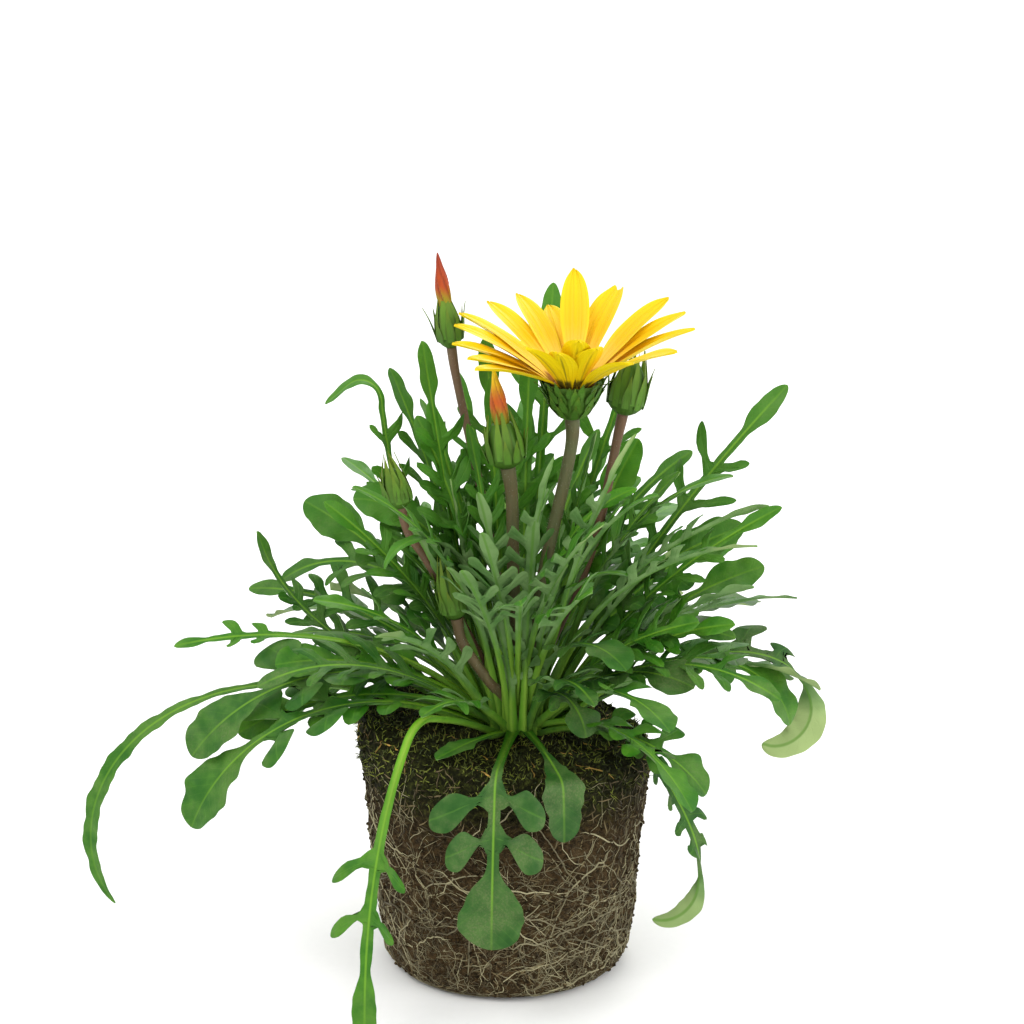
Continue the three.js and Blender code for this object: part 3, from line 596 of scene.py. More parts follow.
# Leaves that stand close together; they share one CAD node with the crown.
INNER_LEAVES = [
    Leaf("left_flat", THIN, 187, 116, 54, -12, 0, 0.7, 1.0, -40, 0, 0),
    Leaf("left_grey", ROUND, 192, 80, 44, -8, 0, 1.0, 0.7, -40, 0, 0),
    Leaf("left_arch", NARROW, 165, 104, 74, -44, 0, 1.5, 0.9, -45, 0, 0),
    Leaf("left_curled", NARROW, 168, 142, 60, 92, 0, 1.2, 0.8, -30, 0.86, 130),
    Leaf("left_tall", NARROW, 168, 132, 78, 82, 0, 1.0, 1.0, -40, 0, 0),
    Leaf("left_tall_inner", NARROW, 168, 108, 85, 62, 0, 1.6, 1.0, -60, 0, 0),
    Leaf("left_front_arch", STRAP, 213.4, 98, 84, -78, 0, 3.5, 0.9, 0, 0, 0),
    Leaf("left_front_mid", SHORT, 203, 84, 60, 10, 0, 1.3, 0.9, -30, 0, 0),
    Leaf("left_broad", BROAD, 171, 98, 83, -6, 6, 2.4, 0.9, -55, 0, 0),
    Leaf("left_oval_low", ROUND, 194, 116, 40, -56, 0, 1.2, 0.9, -35, 0, 0),
    Leaf("left_mid", NARROW, 182, 96, 70, 38, 0, 1.0, 0.9, -50, 0, 0),
    Leaf("left_back_broad", BROAD, 158, 100, 62, 20, 0, 1.3, 0.9, -50, 0, 0),
    Leaf("left_back_low", NARROW, 162, 100, 44, -10, 0, 1.4, 0.9, -40, 0, 0),
    Leaf("front_left_oval", BROAD, 258, 46, 86, 60, -40, 1.4, 0.7, 0, 0, 0),
    Leaf("front_left_low", SHORT, 242, 62, 42, -6, 0, 1.2, 0.8, 0, 0, 0),
    Leaf("front_right_broad", BROAD, 304, 68, 84, -40, 12, 1.4, 1.0, 0, 0, 0),
    Leaf("front_right_short", BROAD, 304, 44, 78, -80, 0, 1.2, 0.8, 0, 0, 0),
    Leaf("front_mid_lobed", SHORT, 294, 62, 64, -24, 0, 1.2, 0.9, 0, 0, 0),
    Leaf("front_upright", SHORT, 282, 80, 84, 72, 0, 1.2, 0.7, 0, 0, 0),
    Leaf("right_bent", NARROW, 306, 98, 87, 12, 62, 2.6, 0.8, 30, 0, 0),
    Leaf("right_reaching", SHORT, 315, 76, 84, -46, 44, 3.2, 0.7, 0, 0, 0),
    Leaf("right_low_lobed", NARROW, 336, 94, 46, -32, 0, 1.3, 1.0, 25, 0, 0),
    Leaf("right_round", ROUND, 330, 66, 54, -20, 0, 1.2, 0.9, 25, 0, 0),
    Leaf("right_front_lobed", SHORT, 342, 82, 64, -16, 0, 1.2, 1.1, 30, 0, 0),
    Leaf("right_slender", NARROW, 352, 112, 60, 29, 0, 1.0, 0.8, 50, 0, 0),
    Leaf("right_wide", BROAD, 4, 98, 72, 16, 0, 1.0, 0.8, 50, 0, 0),
    Leaf("right_dark", BROAD, 10, 92, 48, 14, 0, 1.2, 0.8, 40, 0, 0),
    Leaf("right_long", NARROW, 14, 140, 60, 45, 0, 1.0, 1.0, 55, 0, 0),
    Leaf("right_oval", BROAD, 42, 100, 74, 56, -14, 1.0, 0.7, 50, 0, 0),
    Leaf("right_leaning", NARROW, 44, 110, 72, 20, -12, 1.3, 0.8, 50, 0, 0),
    Leaf("right_back_broad", BROAD, 30, 98, 54, 8, 0, 1.2, 0.9, 45, 0, 0),
    Leaf("middle_back", NARROW, 84, 122, 82, 70, 0, 1.0, 0.9, 0, 0, 0),
    Leaf("behind_head", NARROW, 78, 148, 72, 68, 0, 1.0, 1.0, 0, 0, 0),
    Leaf("behind_head_left", NARROW, 108, 128, 82, 74, 0, 1.0, 1.0, 0, 0, 0),
    Leaf("back_right", BROAD, 54, 112, 56, -10, 0, 1.4, 1.0, 0, 0, 0),
    Leaf("back_right_tall", NARROW, 52, 128, 72, 54, 0, 1.0, 1.0, 0, 0, 0),
    Leaf("back_low", BROAD, 76, 108, 50, -24, 0, 1.4, 1.0, 0, 0, 0),
    Leaf("back", NARROW, 94, 124, 60, 10, 0, 1.2, 1.0, 0, 0, 0),
    Leaf("back_left_broad", BROAD, 114, 106, 50, -24, 0, 1.4, 1.0, 0, 0, 0),
    Leaf("back_left", NARROW, 130, 118, 62, 10, 0, 1.2, 1.0, 0, 0, 0),
    Leaf("back_left_tall", NARROW, 138, 124, 74, 58, 0, 1.0, 1.0, 0, 0, 0),
]


GOLDEN_ANGLE = 137.508                # between one leaf of a rosette and the next, in degrees


def young_leaves(count):
    """Slender upright leaves that fill the middle."""
    chance = random.Random(17)
    for i in range(count):
        heading = i * GOLDEN_ANGLE % 360
        shortening = 0.88 if 225 < heading < 315 else 1.0
        lift = chance.uniform(62, 87)
        yield Leaf(f"young_{i}", YOUNG, heading, chance.uniform(72, 124) * shortening, lift,
                   lift - chance.uniform(-8, 70), chance.uniform(-25, 25), chance.uniform(1.0, 2.4),
                   chance.uniform(0.75, 1.1), chance.uniform(-50, 50), 0, 0)


def low_leaves(count):
    """Older, broader leaves that fill the ring below them; the front stays open."""
    chance = random.Random(29)
    for i in range(count):
        heading = (310 + (i * GOLDEN_ANGLE % 360) * 280 / 360) % 360
        lift = chance.uniform(24, 60)
        yield Leaf(f"low_{i}", (BROAD, SHORT, NARROW)[i % 3], heading, chance.uniform(66, 104), lift,
                   lift - chance.uniform(30, 80), chance.uniform(-18, 18), chance.uniform(1.0, 1.8),
                   chance.uniform(0.75, 1.0), chance.uniform(-50, 50), 0, 0)


YOUNG_LEAVES = list(young_leaves(38))
LOW_LEAVES = list(low_leaves(26))
print(len(OUTER_LEAVES), "outer,", len(INNER_LEAVES), "inner,", len(YOUNG_LEAVES), "young and",
      len(LOW_LEAVES), "low leaves")

# %% [markdown]
# ## Rib and lobes of a leaf
# A leaf comes up out of the crown, bends outwards and carries its side lobes in pairs. Python has random
# numbers of its own, but the lobes are drawn from a small rule that the solids follow too, so that a
# finished lobe lies over the lobe of its solid.

# %% Rib and lobes of a leaf
def seeded(seed):
    """The same repeatable random numbers between 0 and 1 as the solids were drawn with."""
    state = seed
    while True:
        state = (state * 1664525 + 1013904223) % 2**32
        yield state / 2**32


@dataclass
class Lobe:
    place: float                      # mm along the leaf
    sign: int                         # 1 left, -1 right
    reach: float
    cup: float
    width: float


def lobes_of(leaf, number):
    """The side lobes of a leaf, drawn as in the solids."""
    sort, draw = leaf.sort, seeded(100 + number)
    pitch = (1 - sort.bare - sort.tip_length) / max(sort.pairs, 1)
    lobes = []
    for i in range(sort.pairs):
        swell = 0.62 + 0.38 * math.sin(math.pi * (i + 0.8) / (sort.pairs + 0.4))
        reaches = [sort.reach * leaf.size * swell * (0.8 + 0.4 * next(draw)) for _ in range(2)]
        cups = [-0.12 + 0.4 * next(draw) for _ in range(2)]
        width = min(sort.width * leaf.size, pitch * leaf.length * 0.6)
        place = leaf.length * (sort.bare + pitch * i) + width * 0.6
        for sign, reach, cup in zip((1, -1), reaches, cups):
            lobes.append(Lobe(place, sign, reach, cup, width))
    return lobes


TIP_TURNS = {"right_curling": -115, "right_hanging": -115}    # tips that turn their underside outwards
ROOT_STEPS = 7                        # places on the stretch that comes up out of the crown


def leaf_rib(leaf, radius, height):
    """The leaf's rib, with the stretch by which its stalk comes up out of the crown."""
    way = np.array([math.cos(math.radians(leaf.heading)), math.sin(math.radians(leaf.heading)), 0])
    start = CROWN + way * radius + [0, 0, height]
    rib = bent_rib(start, leaf.heading, leaf.length, leaf.lift, leaf.end, leaf.turn, leaf.hold,
                   leaf.roll, leaf.kink_at, leaf.kink_by, TIP_TURNS.get(leaf.name, 0))
    base = CROWN + way * radius * 0.55 + [0, 0, CROWN_BASE]
    t = np.linspace(0, 1, ROOT_STEPS + 1)[:-1, None]
    pull = 0.6 * np.linalg.norm(start - base)
    handles = base + (way * 0.2 + [0, 0, 1]) * pull, start - rib.along[0] * pull
    root = (base * (1 - t) ** 3 + handles[0] * 3 * t * (1 - t) ** 2 + handles[1] * 3 * t**2 * (1 - t)
            + start * t**3)
    points = np.vstack([root, rib.points])
    along = np.gradient(points, axis=0)
    along[ROOT_STEPS:] = rib.along * np.linalg.norm(along[ROOT_STEPS:], axis=1, keepdims=True)
    side = np.vstack([np.repeat(rib.side[:1], ROOT_STEPS, axis=0), rib.side])
    before = np.sum(np.linalg.norm(np.diff(points[:ROOT_STEPS + 1], axis=0), axis=1))
    return Rib(points, along, side, -before)


lobe_count = sum(len(lobes_of(leaf, number)) for number, leaf in enumerate(OUTER_LEAVES))
print("the outer leaves have", lobe_count, "side lobes")

# %% [markdown]
# ## A leaf from its rule
# Lobes could be joined to the blade one by one, but that leaves seams. Here the whole leaf is one closed
# strip. Its half width swells to a bulge wherever a lobe grows, and everything beyond the web along the rib
# is slid to the tip and fanned out, so that a plain bulge becomes a lobe that leans and widens. The rows lie
# closer where the outline or the rib turns more, so a straight stalk costs few triangles.

# %% A leaf from its rule
def end_lobe(sort, part):
    """Half width of the end lobe as a part of its greatest, from its neck at 0 to its tip at 1."""
    widest = 0.50 if sort.pairs > 2 else 0.64
    tip = widest - 0.05
    swell = 0.30 + 0.70 * smooth(0, widest, part)
    past = np.clip((part - tip) / (1 - tip), 0, 1)
    return swell * np.maximum(1 - past**2.2, 0.006) ** 0.54


def side_outline(lobes, place, web, chance):
    """One side of the blade at each place: half width, and the off-line, reach, cup and twist of its lobe."""
    half = web.copy()
    off, reach, cup, twist = (np.zeros_like(place) for _ in range(4))
    for lobe in lobes:
        axis = lobe.place + chance.uniform(-0.3, 0.3) * lobe.width
        far = (place - axis) / (0.56 * lobe.width)
        bulge = np.maximum(1 - np.abs(far) ** 2.6, 0) ** 0.55
        wide = web + np.maximum(lobe.reach - web, 0) * bulge
        mine = (np.abs(far) < 1) & (wide > half)
        half = np.where(mine, wide, half)
        off = np.where(mine, place - axis, off)
        reach = np.where(mine, lobe.reach, reach)
        cup = np.where(mine, lobe.cup + chance.uniform(-0.10, 0.12), cup)
        twist = np.where(mine, chance.uniform(-0.7, 0.7), twist)
    return half, off, reach, cup, twist


ROW_STEP = 1.2                        # mm of outline between the rows of a leaf
TURN_ROWS = 14.0                      # a turn of one radian gets as many rows as this many mm
FILL_STEP = 1.75                      # the same for the leaves that only fill the middle and the ring
WEB_WIDTH = 1.1                       # of the blade between its lobes, in widths of the stalk
LOBE_FOOT = 1.9                       # mm, how wide the foot of a lobe is, next to the web
FOOT_COLUMN = 2.0                     # mm beyond the web, where a column of points keeps to the foot
TONES = {"front_left_hanging": 0.95, "front_left_short": 0.55, "front_broad": 0.15, "front_strap": 0.05,
         "left_flat": 0.95, "left_rising": 0.35, "right_curling": 0.15, "right_hanging": 0.30}


def add_leaf(heap, leaf, number, radius, height, row_step=ROW_STEP):
    """The whole leaf as one closed strip."""
    chance = random.Random(500 + number)
    tone = TONES.get(leaf.name, chance.uniform(0.20, 1.0))
    rib, sort, length = leaf_rib(leaf, radius, height), leaf.sort, leaf.length
    lobes = lobes_of(leaf, number)
    neck = (1 - sort.tip_length) * length
    fine = np.linspace(rib.reach[0], length, 700)
    part = np.clip((fine - neck) / (length - neck), 0, 1)
    stalk = smooth(sort.bare * 1.04, sort.bare * 0.55, fine / length)
    base = sort.stalk * (0.85 + 0.5 * smooth(0.2, -0.1, fine / length))
    web = base + (sort.stalk * WEB_WIDTH - base) * smooth(sort.bare * 0.7, sort.bare + 0.06, fine / length)
    fade = smooth(0, 0.3, part)
    tip_half = sort.tip * leaf.size * end_lobe(sort, part)
    web = web * (1 - fade) + tip_half * fade
    waves = chance.uniform(0, 6), chance.uniform(0, 6)
    toothing = 0.16 if sort.pairs == 0 else 0.07
    sides = []
    for sign, phase in zip((1, -1), waves):
        ripple = 1 + toothing * np.sin(fine * 0.42 + phase) ** 3 * (1 - stalk) * smooth(1, 0.8, part)
        mine = [lobe for lobe in lobes if lobe.sign == sign]
        sides.append(side_outline(mine, fine, web * ripple, chance))

    # Rows, closer together where the outline or the rib turns.
    steps = np.abs(np.diff(fine)) + 0.5 * sum(np.abs(np.diff(half)) for half, *_ in sides)
    way = np.concatenate([[0], np.cumsum(steps + TURN_ROWS * rib.bend(fine))])
    rows = np.linspace(0, way[-1], int(way[-1] / row_step))
    place, stalk, web, part = (np.interp(rows, way, values) for values in (fine, stalk, web, part))
    left, right = ([np.interp(rows, way, values) for values in side] for side in sides)

    # How far each point lies across the rib and along it.
    half = np.maximum(left[0], right[0])
    a = columns(half, web + FOOT_COLUMN, 11 if sort is ROUND else 9)
    of_its_side = [np.where(a > 0, l[:, None], r[:, None]) for l, r in zip(left, right)]
    half_here, off, reach, cup, twist = of_its_side
    across = np.sign(a) * np.minimum(np.abs(a) * half[:, None], np.abs(a) ** 0.5 * half_here)
    across[:, [0, -1]] = np.stack([-right[0], left[0]], axis=1)
    out = np.abs(across)
    beyond = np.maximum(out - web[:, None], 0)
    lobed = np.where(reach > 0, np.clip(beyond / np.maximum(reach - web[:, None], 1), 0, 1), 0)
    lean = sort.forward * (1 - 0.8 * smooth(0.2, 0.8, part))[:, None]
    pinch = 1 - LOBE_FOOT / max(1.12 * sort.width * leaf.size, LOBE_FOOT)
    widened = sort.spread * smooth(0.12, 0.7, lobed) - pinch * smooth(0, 0.13, lobed)
    distance = place[:, None] + lean * beyond + widened * off

    # How far it lies above or below the rib, and how thick the blade is there.
    wave = np.sin(place * 0.50 + waves[0])[:, None] * np.sign(a) * 0.5
    wave += np.sin(place * 0.75 + waves[1])[:, None] * 0.5
    fold = (0.30 * stalk + 0.16 * (1 - stalk))[:, None]
    inside = np.minimum(out, web[:, None])
    middle = inside**2 / np.maximum(web, 0.3)[:, None] * (fold + 0.12 * wave * (1 - stalk)[:, None])
    middle += reach * lobed * (cup + 0.22 * np.sin(np.pi * lobed)) + twist * off * lobed**0.7
    vein_off = np.where(reach > 0, off, NO_VEIN)
    shape = np.maximum(stalk, 0.4 * (1 - smooth(0, 0.5, part)))[:, None]
    body = 0.5 * BLADE * (1 - np.abs(a) ** 3)
    inner = 1 - a**2
    above = body - 0.2 * inner * np.exp(-((across / 0.5) ** 2))
    below = body + inner * (0.25 + 1.1 * shape) * np.exp(-((across / (0.6 + 0.9 * shape)) ** 2))
    stalk_or_tip = (stalk - smooth(0.1, 1, part))[:, None]
    heap.strip(rib, distance, across, middle, above, below, (stalk_or_tip, tone, vein_off))


print("rows every", ROW_STEP, "mm of outline, and every", FILL_STEP, "mm on leaves that only fill")

# %% [markdown]
# ## Outer leaves
# Hanging, trailing and curling leaves stand all round the outside. They could be joined to one mesh with
# the rest, but each is a node of its own in the solids, and a piece that stands for one node is easy to
# check against it. They start just outside the crown, where their solids start.

# %% Outer leaves
OUTER_DROP = 3.5                      # mm from the crown's top down to where they start

for number, leaf in enumerate(OUTER_LEAVES):
    heap = Heap()
    outside = CROWN_RADIUS + GAP + SOLID_BLADE / 2 * math.sin(math.radians(leaf.lift))
    add_leaf(heap, leaf, number, outside, CROWN_TOP - OUTER_DROP)
    heap.piece(leaf.name + "_leaf", LEAF, "leaf", "leaf_" + leaf.name)

# %% [markdown]
# ## Foliage
# The inner leaves are one node in the solids. Here they are four pieces, one for each side of the plant,
# with the young and the low leaves among them, so that no mesh becomes too heavy and each side can be
# looked at by itself.

# %% Foliage
SIDES = {"foliage_right": (-45, 45), "foliage_back": (45, 135), "foliage_left": (135, 225),
         "foliage_front": (225, 315)}
INNER_DROP = 2.0                      # mm from the crown's top down to where they start
INNER_SINK = 2.5                      # mm from the crown's edge inwards
FIRST_NUMBER = 30                     # of the inner leaves, as in the solids

for side_name, (low, high) in SIDES.items():
    heap = Heap()
    for number, leaf in enumerate(INNER_LEAVES + YOUNG_LEAVES + LOW_LEAVES):
        if low <= (leaf.heading + 45) % 360 - 45 < high:
            out = 3 + number % 7 if leaf.sort is YOUNG else CROWN_RADIUS - INNER_SINK
            row_step = ROW_STEP if number < len(INNER_LEAVES) else FILL_STEP
            add_leaf(heap, leaf, FIRST_NUMBER + number, out, CROWN_TOP - INNER_DROP, row_step)
    heap.piece(side_name, LEAF, "leaf", "foliage")

# %% [markdown]
# ## Growth rules
# Roots, crumbs, moss, hairs and florets repeat hundreds of times over a surface, which is what Geometry
# Nodes are for: scatter points, set a small shape on each, bend it, make it real. Each rule is a tree
# with named sizes and a seed, so the same rule grows thick roots and fine ones. The result is turned into
# a plain mesh, because instances and live modifiers don't leave Blender with the model.

# %% Growth rules
class Growth(Tree):
    """A rule that grows a mesh on another: a Geometry Nodes tree with named sizes."""

    def __init__(self, name, **sizes):
        super().__init__(bpy.data.node_groups.new(name, "GeometryNodeTree"))
        face = self.tree.interface
        face.new_socket("Base", in_out="INPUT", socket_type="NodeSocketGeometry")
        self.inputs = {}
        for label, value in sizes.items():
            kind = "NodeSocketInt" if isinstance(value, int) else "NodeSocketFloat"
            socket = face.new_socket(label, in_out="INPUT", socket_type=kind)
            socket.default_value = value
            self.inputs[label] = socket.identifier
        face.new_socket("Grown", in_out="OUTPUT", socket_type="NodeSocketGeometry")
        self.given = self.node("NodeGroupInput")

    def chance(self, low, high, shift=0):
        """A random number for each element; shift keeps draws apart."""
        inputs = {"Min": low, "Max": high, "Seed": self.given["Seed"] + shift}
        return self.node("FunctionNodeRandomValue", {"data_type": "FLOAT"}, inputs)

    def vector(self, x, y, z):
        return self.node("ShaderNodeCombineXYZ", None, {"X": x, "Y": y, "Z": z})

    def reckon_vector(self, operation, a, b):
        key = "Scale" if operation == "SCALE" else 1
        return self.node("ShaderNodeVectorMath", {"operation": operation}, {0: a, key: b})

    def each_curve(self, value, kind="FLOAT"):
        settings = {"domain": "CURVE", "data_type": kind}
        return self.node("GeometryNodeFieldOnDomain", settings, {"Value": value})

    def done(self, geometry, material):
        real = self.node("GeometryNodeRealizeInstances", None, {"Geometry": geometry})
        painted = self.node("GeometryNodeSetMaterial", None, {"Geometry": real, "Material": material})
        self.node("NodeGroupOutput", None, {"Grown": painted})
        return self


def grown(rule, base, **sizes):
    """The mesh that a rule grows on a base mesh with the given sizes."""
    holder = linked("holder", base)
    modifier = holder.modifiers.new("growth", "NODES")
    modifier.node_group = rule.tree
    for label, value in sizes.items():
        modifier[rule.inputs[label]] = value
    graph = bpy.context.evaluated_depsgraph_get()
    made = bpy.data.meshes.new_from_object(holder.evaluated_get(graph), depsgraph=graph)
    holder.modifiers.remove(modifier)
    bpy.data.objects.remove(holder)
    return made


def strand_rule(name, material, lying, sides):
    """Strands on a surface: lying close along it, like roots, or standing on it, like moss and hairs."""
    rule = Growth(name, Density=1000.0, Length=0.02, Thickness=0.0003, Wander=0.002, Spread=0.6,
                  Low=-1.0, High=-0.99, Points=12, Seed=1)
    given = rule.given
    height = rule.node("ShaderNodeSeparateXYZ", None, {"Vector": rule.node("GeometryNodeInputPosition")})["Z"]
    share = height.smooth(given["Low"], given["High"])
    spots = rule.node("GeometryNodeDistributePointsOnFaces", None,
                      {"Mesh": given["Base"], "Density": given["Density"] * share, "Seed": given["Seed"]})
    normal = spots["Normal"]
    turn = rule.node("FunctionNodeAlignRotationToVector", {"axis": "Z"}, {"Vector": normal})
    spread = given["Spread"]
    if lying:
        round_it = rule.reckon_vector("CROSS_PRODUCT", (0, 0, 1), normal)
        turn = rule.node("FunctionNodeAlignRotationToVector", {"axis": "X", "pivot_axis": "Z"},
                         {"Rotation": turn, "Vector": round_it})
        swing = rule.vector(0.0, 0.0, rule.chance(-1.0, 1.0, 1) * spread)
        ends = {"Start": (-0.5, 0, 0), "End": (0.5, 0, 0)}
    else:
        tilts = rule.chance(-1.0, 1.0, 1) * spread, rule.chance(-1.0, 1.0, 2) * spread
        swing = rule.vector(*tilts, rule.chance(0.0, 6.3, 3))
        ends = {"Start": (0, 0, 0), "End": (0, 0, 1)}
    euler = rule.node("FunctionNodeEulerToRotation", None, {"Euler": swing})
    turn = rule.node("FunctionNodeRotateRotation", {"rotation_space": "LOCAL"},
                     {"Rotation": turn, "Rotate By": euler})
    line = rule.node("GeometryNodeCurvePrimitiveLine", None, ends)
    line = rule.node("GeometryNodeResampleCurve", None, {"Curve": line, "Count": given["Points"]})
    scale = given["Length"] * rule.chance(0.35, 1.0, 4)
    lines = rule.node("GeometryNodeInstanceOnPoints", None,
                      {"Points": spots, "Instance": line, "Rotation": turn, "Scale": scale})
    lines = rule.node("GeometryNodeRealizeInstances", None, {"Geometry": lines})

    along = rule.node("GeometryNodeSplineParameter")
    shift = rule.each_curve(rule.vector(rule.chance(0, 1, 5), rule.chance(0, 1, 6), rule.chance(0, 1, 7)),
                            "FLOAT_VECTOR")
    place = rule.node("GeometryNodeInputPosition")
    noise_in = {"Vector": rule.reckon_vector("ADD", place, shift), "Scale": 1 / given["Length"] * 2.2,
                "Detail": 2.5}
    blown = rule.node("ShaderNodeTexNoise", None, noise_in, "Color")
    blown = rule.reckon_vector("SUBTRACT", blown, (0.5, 0.5, 0.5))
    strength = given["Wander"] * 4.0 if lying else given["Wander"] * 4.0 * along
    lines = rule.node("GeometryNodeSetPosition", None,
                      {"Geometry": lines, "Offset": rule.reckon_vector("SCALE", blown, strength)})
    thick = given["Thickness"] * rule.each_curve(rule.chance(0.55, 1.25, 8))
    if lying:
        touch = rule.node("GeometryNodeProximity", None, {"Geometry": given["Base"]})["Position"]
        outwards = rule.reckon_vector("MULTIPLY", touch, (1, 1, 0))
        outwards = rule.node("ShaderNodeVectorMath", {"operation": "NORMALIZE"}, {0: outwards})
        raised = rule.reckon_vector("SCALE", outwards, given["Thickness"] * 0.75)
        lines = rule.node("GeometryNodeSetPosition", None,
                          {"Geometry": lines, "Position": rule.reckon_vector("ADD", touch, raised)})
        taper = 1.02 - abs(along * 2 - 1) ** 5
    else:
        taper = 1.05 - along
    tone = rule.vector(rule.each_curve(rule.chance(0, 1, 9)), along, 0.0)
    lines = rule.node("GeometryNodeStoreNamedAttribute", {"data_type": "FLOAT_VECTOR", "domain": "POINT"},
                      {"Geometry": lines, "Name": "growth", "Value": tone})
    ring = rule.node("GeometryNodeCurvePrimitiveCircle", None, {"Resolution": sides, "Radius": 1.0})
    tubes = rule.node("GeometryNodeCurveToMesh", None,
                      {"Curve": lines, "Profile Curve": ring, "Scale": thick * taper, "Fill Caps": True})
    return rule.done(tubes, material)


print("growth rules ready")

# %% [markdown]
# ## Soil finish
# Potting soil is nearly black-brown peat with paler fibres. Where the plug stood under the rim it is damp
# and mossy, and low down a felt of roots as fine as threads covers it. Those threads are too many to be
# meshes: thin bright lines where a noise passes its middle value look like them.

# %% Soil finish
def soil_finish():
    soil = Finish("soil")
    height = soil.node("ShaderNodeSeparateXYZ", None, {"Vector": soil.place})["Z"] / MM
    lump = soil.grain(7, 4, rough=0.6)
    crumb = soil.grain(1.6, 4, rough=0.7)
    peat = soil.mix(crumb.smooth(0.35, 0.7), shade(0.012, 0.008, 0.003), shade(0.060, 0.036, 0.014))
    peat = soil.mix(lump.smooth(0.5, 0.75) * 0.6, peat, shade(0.088, 0.056, 0.024))
    damp = (height + lump * 26 - 12).smooth(58, 76)
    moss = soil.mix(crumb.smooth(0.45, 0.75), shade(0.006, 0.008, 0.002), shade(0.045, 0.060, 0.010))
    ground = soil.mix(damp * 0.85, peat, moss)

    def threads(size, width, stretch):
        place = soil.grain(size, 3, stretch, 0.55)
        return 1 - abs(place - 0.5).smooth(0.0, width)

    felt = threads(6, 0.016, (1, 1, 1.8)) + threads(3.5, 0.02, (1, 1, 1.3)) + threads(9, 0.012, (1, 1, 2.4))
    felt = felt.smooth(0.2, 1.0) * (1 - damp) * (0.30 + 0.70 * (height * -1 + 70).smooth(0, 60))
    colour = soil.mix(felt * 0.7, ground, shade(0.20, 0.155, 0.085))
    return soil.done(colour, 0.95, crumb * 0.7 + lump * 0.3 + felt * 0.4, 1.2, Specular_IOR_Level=0.1)


def strand_finish(name, dark, light, roughness=0.7):
    """A finish for strands: every strand has its own shade between dark and light."""
    strand = Finish(name)
    tone, _, _ = strand.mark("growth")
    speck = strand.grain(1.5, 2)
    patch = strand.grain(14, 2)
    colour = strand.mix((tone * 0.8 + speck * 0.4 + patch * 0.8 - 0.5).smooth(0.0, 1.0), dark, light)
    return strand.done(colour, roughness, speck, 0.1)


SOIL = soil_finish()
ROOT = strand_finish("root", shade(0.058, 0.044, 0.017), shade(0.42, 0.38, 0.22), 0.7)
PEAT_FIBRE = strand_finish("peat_fibre", shade(0.036, 0.025, 0.009), shade(0.16, 0.120, 0.050), 0.8)
STRAW = strand_finish("straw", shade(0.14, 0.085, 0.020), shade(0.50, 0.30, 0.060), 0.7)
MOSS = strand_finish("moss", shade(0.010, 0.020, 0.002), shade(0.19, 0.22, 0.022), 0.8)
print("soil finish:", len(SOIL.node_tree.nodes), "nodes")

# %% [markdown]
# ## Soil plug
# The plug is a tapered lump with a rounded foot and an uneven top. A sculpted cylinder would do, but the
# soil has to end where the solid ends, so the same rule for its wall and top is worked out on a finer
# grid, with more noise the closer one looks. Underneath it stays flat, because it stands there.

# %% Soil plug
RIM_DRAW = 2.2                        # mm by which the wall is drawn in at the rim
MOUND, MOUND_SPREAD = 3.0, 15         # mm that the soil rises round the crown, and how far out
AROUND, UP_ROWS, TOP_ROWS = 320, 84, 34               # points around, rows up the wall and on the top


def soil_top(x, y):
    return PLUG_HEIGHT - 1 - PLUG_SLOPE * x + 0.7 * math.sin(x * 0.21 + 1) * math.cos(y * 0.19)


def wall_radius(angle, height):
    taper = PLUG_BOTTOM_RADIUS + (PLUG_TOP_RADIUS - PLUG_BOTTOM_RADIUS) * height / PLUG_HEIGHT
    below = max(PLUG_EDGE_RADIUS - height, 0)
    rounding = PLUG_EDGE_RADIUS - math.sqrt(PLUG_EDGE_RADIUS**2 - below**2)
    lumps = (math.sin(angle * 5 + height * 0.11) * 0.5 + math.sin(angle * 9 - height * 0.23 + 2) * 0.3
             + math.sin(angle * 3 + height * 0.31 + 4) * 0.4)
    return taper - rounding + lumps * PLUG_RELIEF * 0.5 * min(height / 12, 1)


def rough(point, size, seed=0.0):
    """Broken noise about -1 to 1 with blots of a size in mm."""
    return noise.fractal(Vector(point) / size + Vector((seed, 0, 0)), 0.9, 2.1, 4)


def plug_point(angle, part):
    """A place on the plug: part runs from 0 at the foot to 1 at the rim and 2 at the middle of the top."""
    cos, sin = math.cos(angle), math.sin(angle)
    if part <= 1:
        height = part * soil_top(PLUG_TOP_RADIUS * cos, PLUG_TOP_RADIUS * sin)
        radius = wall_radius(angle, height) - RIM_DRAW * max(part - 0.95, 0) ** 2 / 0.05**2
        bump = 0.8 * rough((radius * cos, radius * sin, height), 9)
        bump += 0.35 * rough((cos * 50, sin * 50, height), 2)
        radius += bump * min(height / 6, 1)
        return radius * cos, radius * sin, height
    inward = (2 - part) ** 0.8
    radius = (wall_radius(angle, PLUG_HEIGHT) - RIM_DRAW) * inward
    x, y = radius * cos, radius * sin
    height = soil_top(x, y) + 1.5 * rough((x, y, 0), 11, 5) + 0.7 * rough((x, y, 0), 2.5, 9)
    mound = MOUND * math.exp(-((x - CROWN[0]) ** 2 + (y - CROWN[1]) ** 2) / MOUND_SPREAD**2)
    return x, y, height - 1.2 * (1 - smooth(0, 0.12, 1 - inward)) + mound


def faces_between(rings, sides, first=0):
    """Faces between rings of points, each ring above the last; first is the first point's number."""
    faces = []
    for ring in range(rings - 1):
        for k in range(sides):
            here, after = first + ring * sides, (k + 1) % sides
            faces.append((here + k, here + after, here + sides + after, here + sides + k))
    return faces


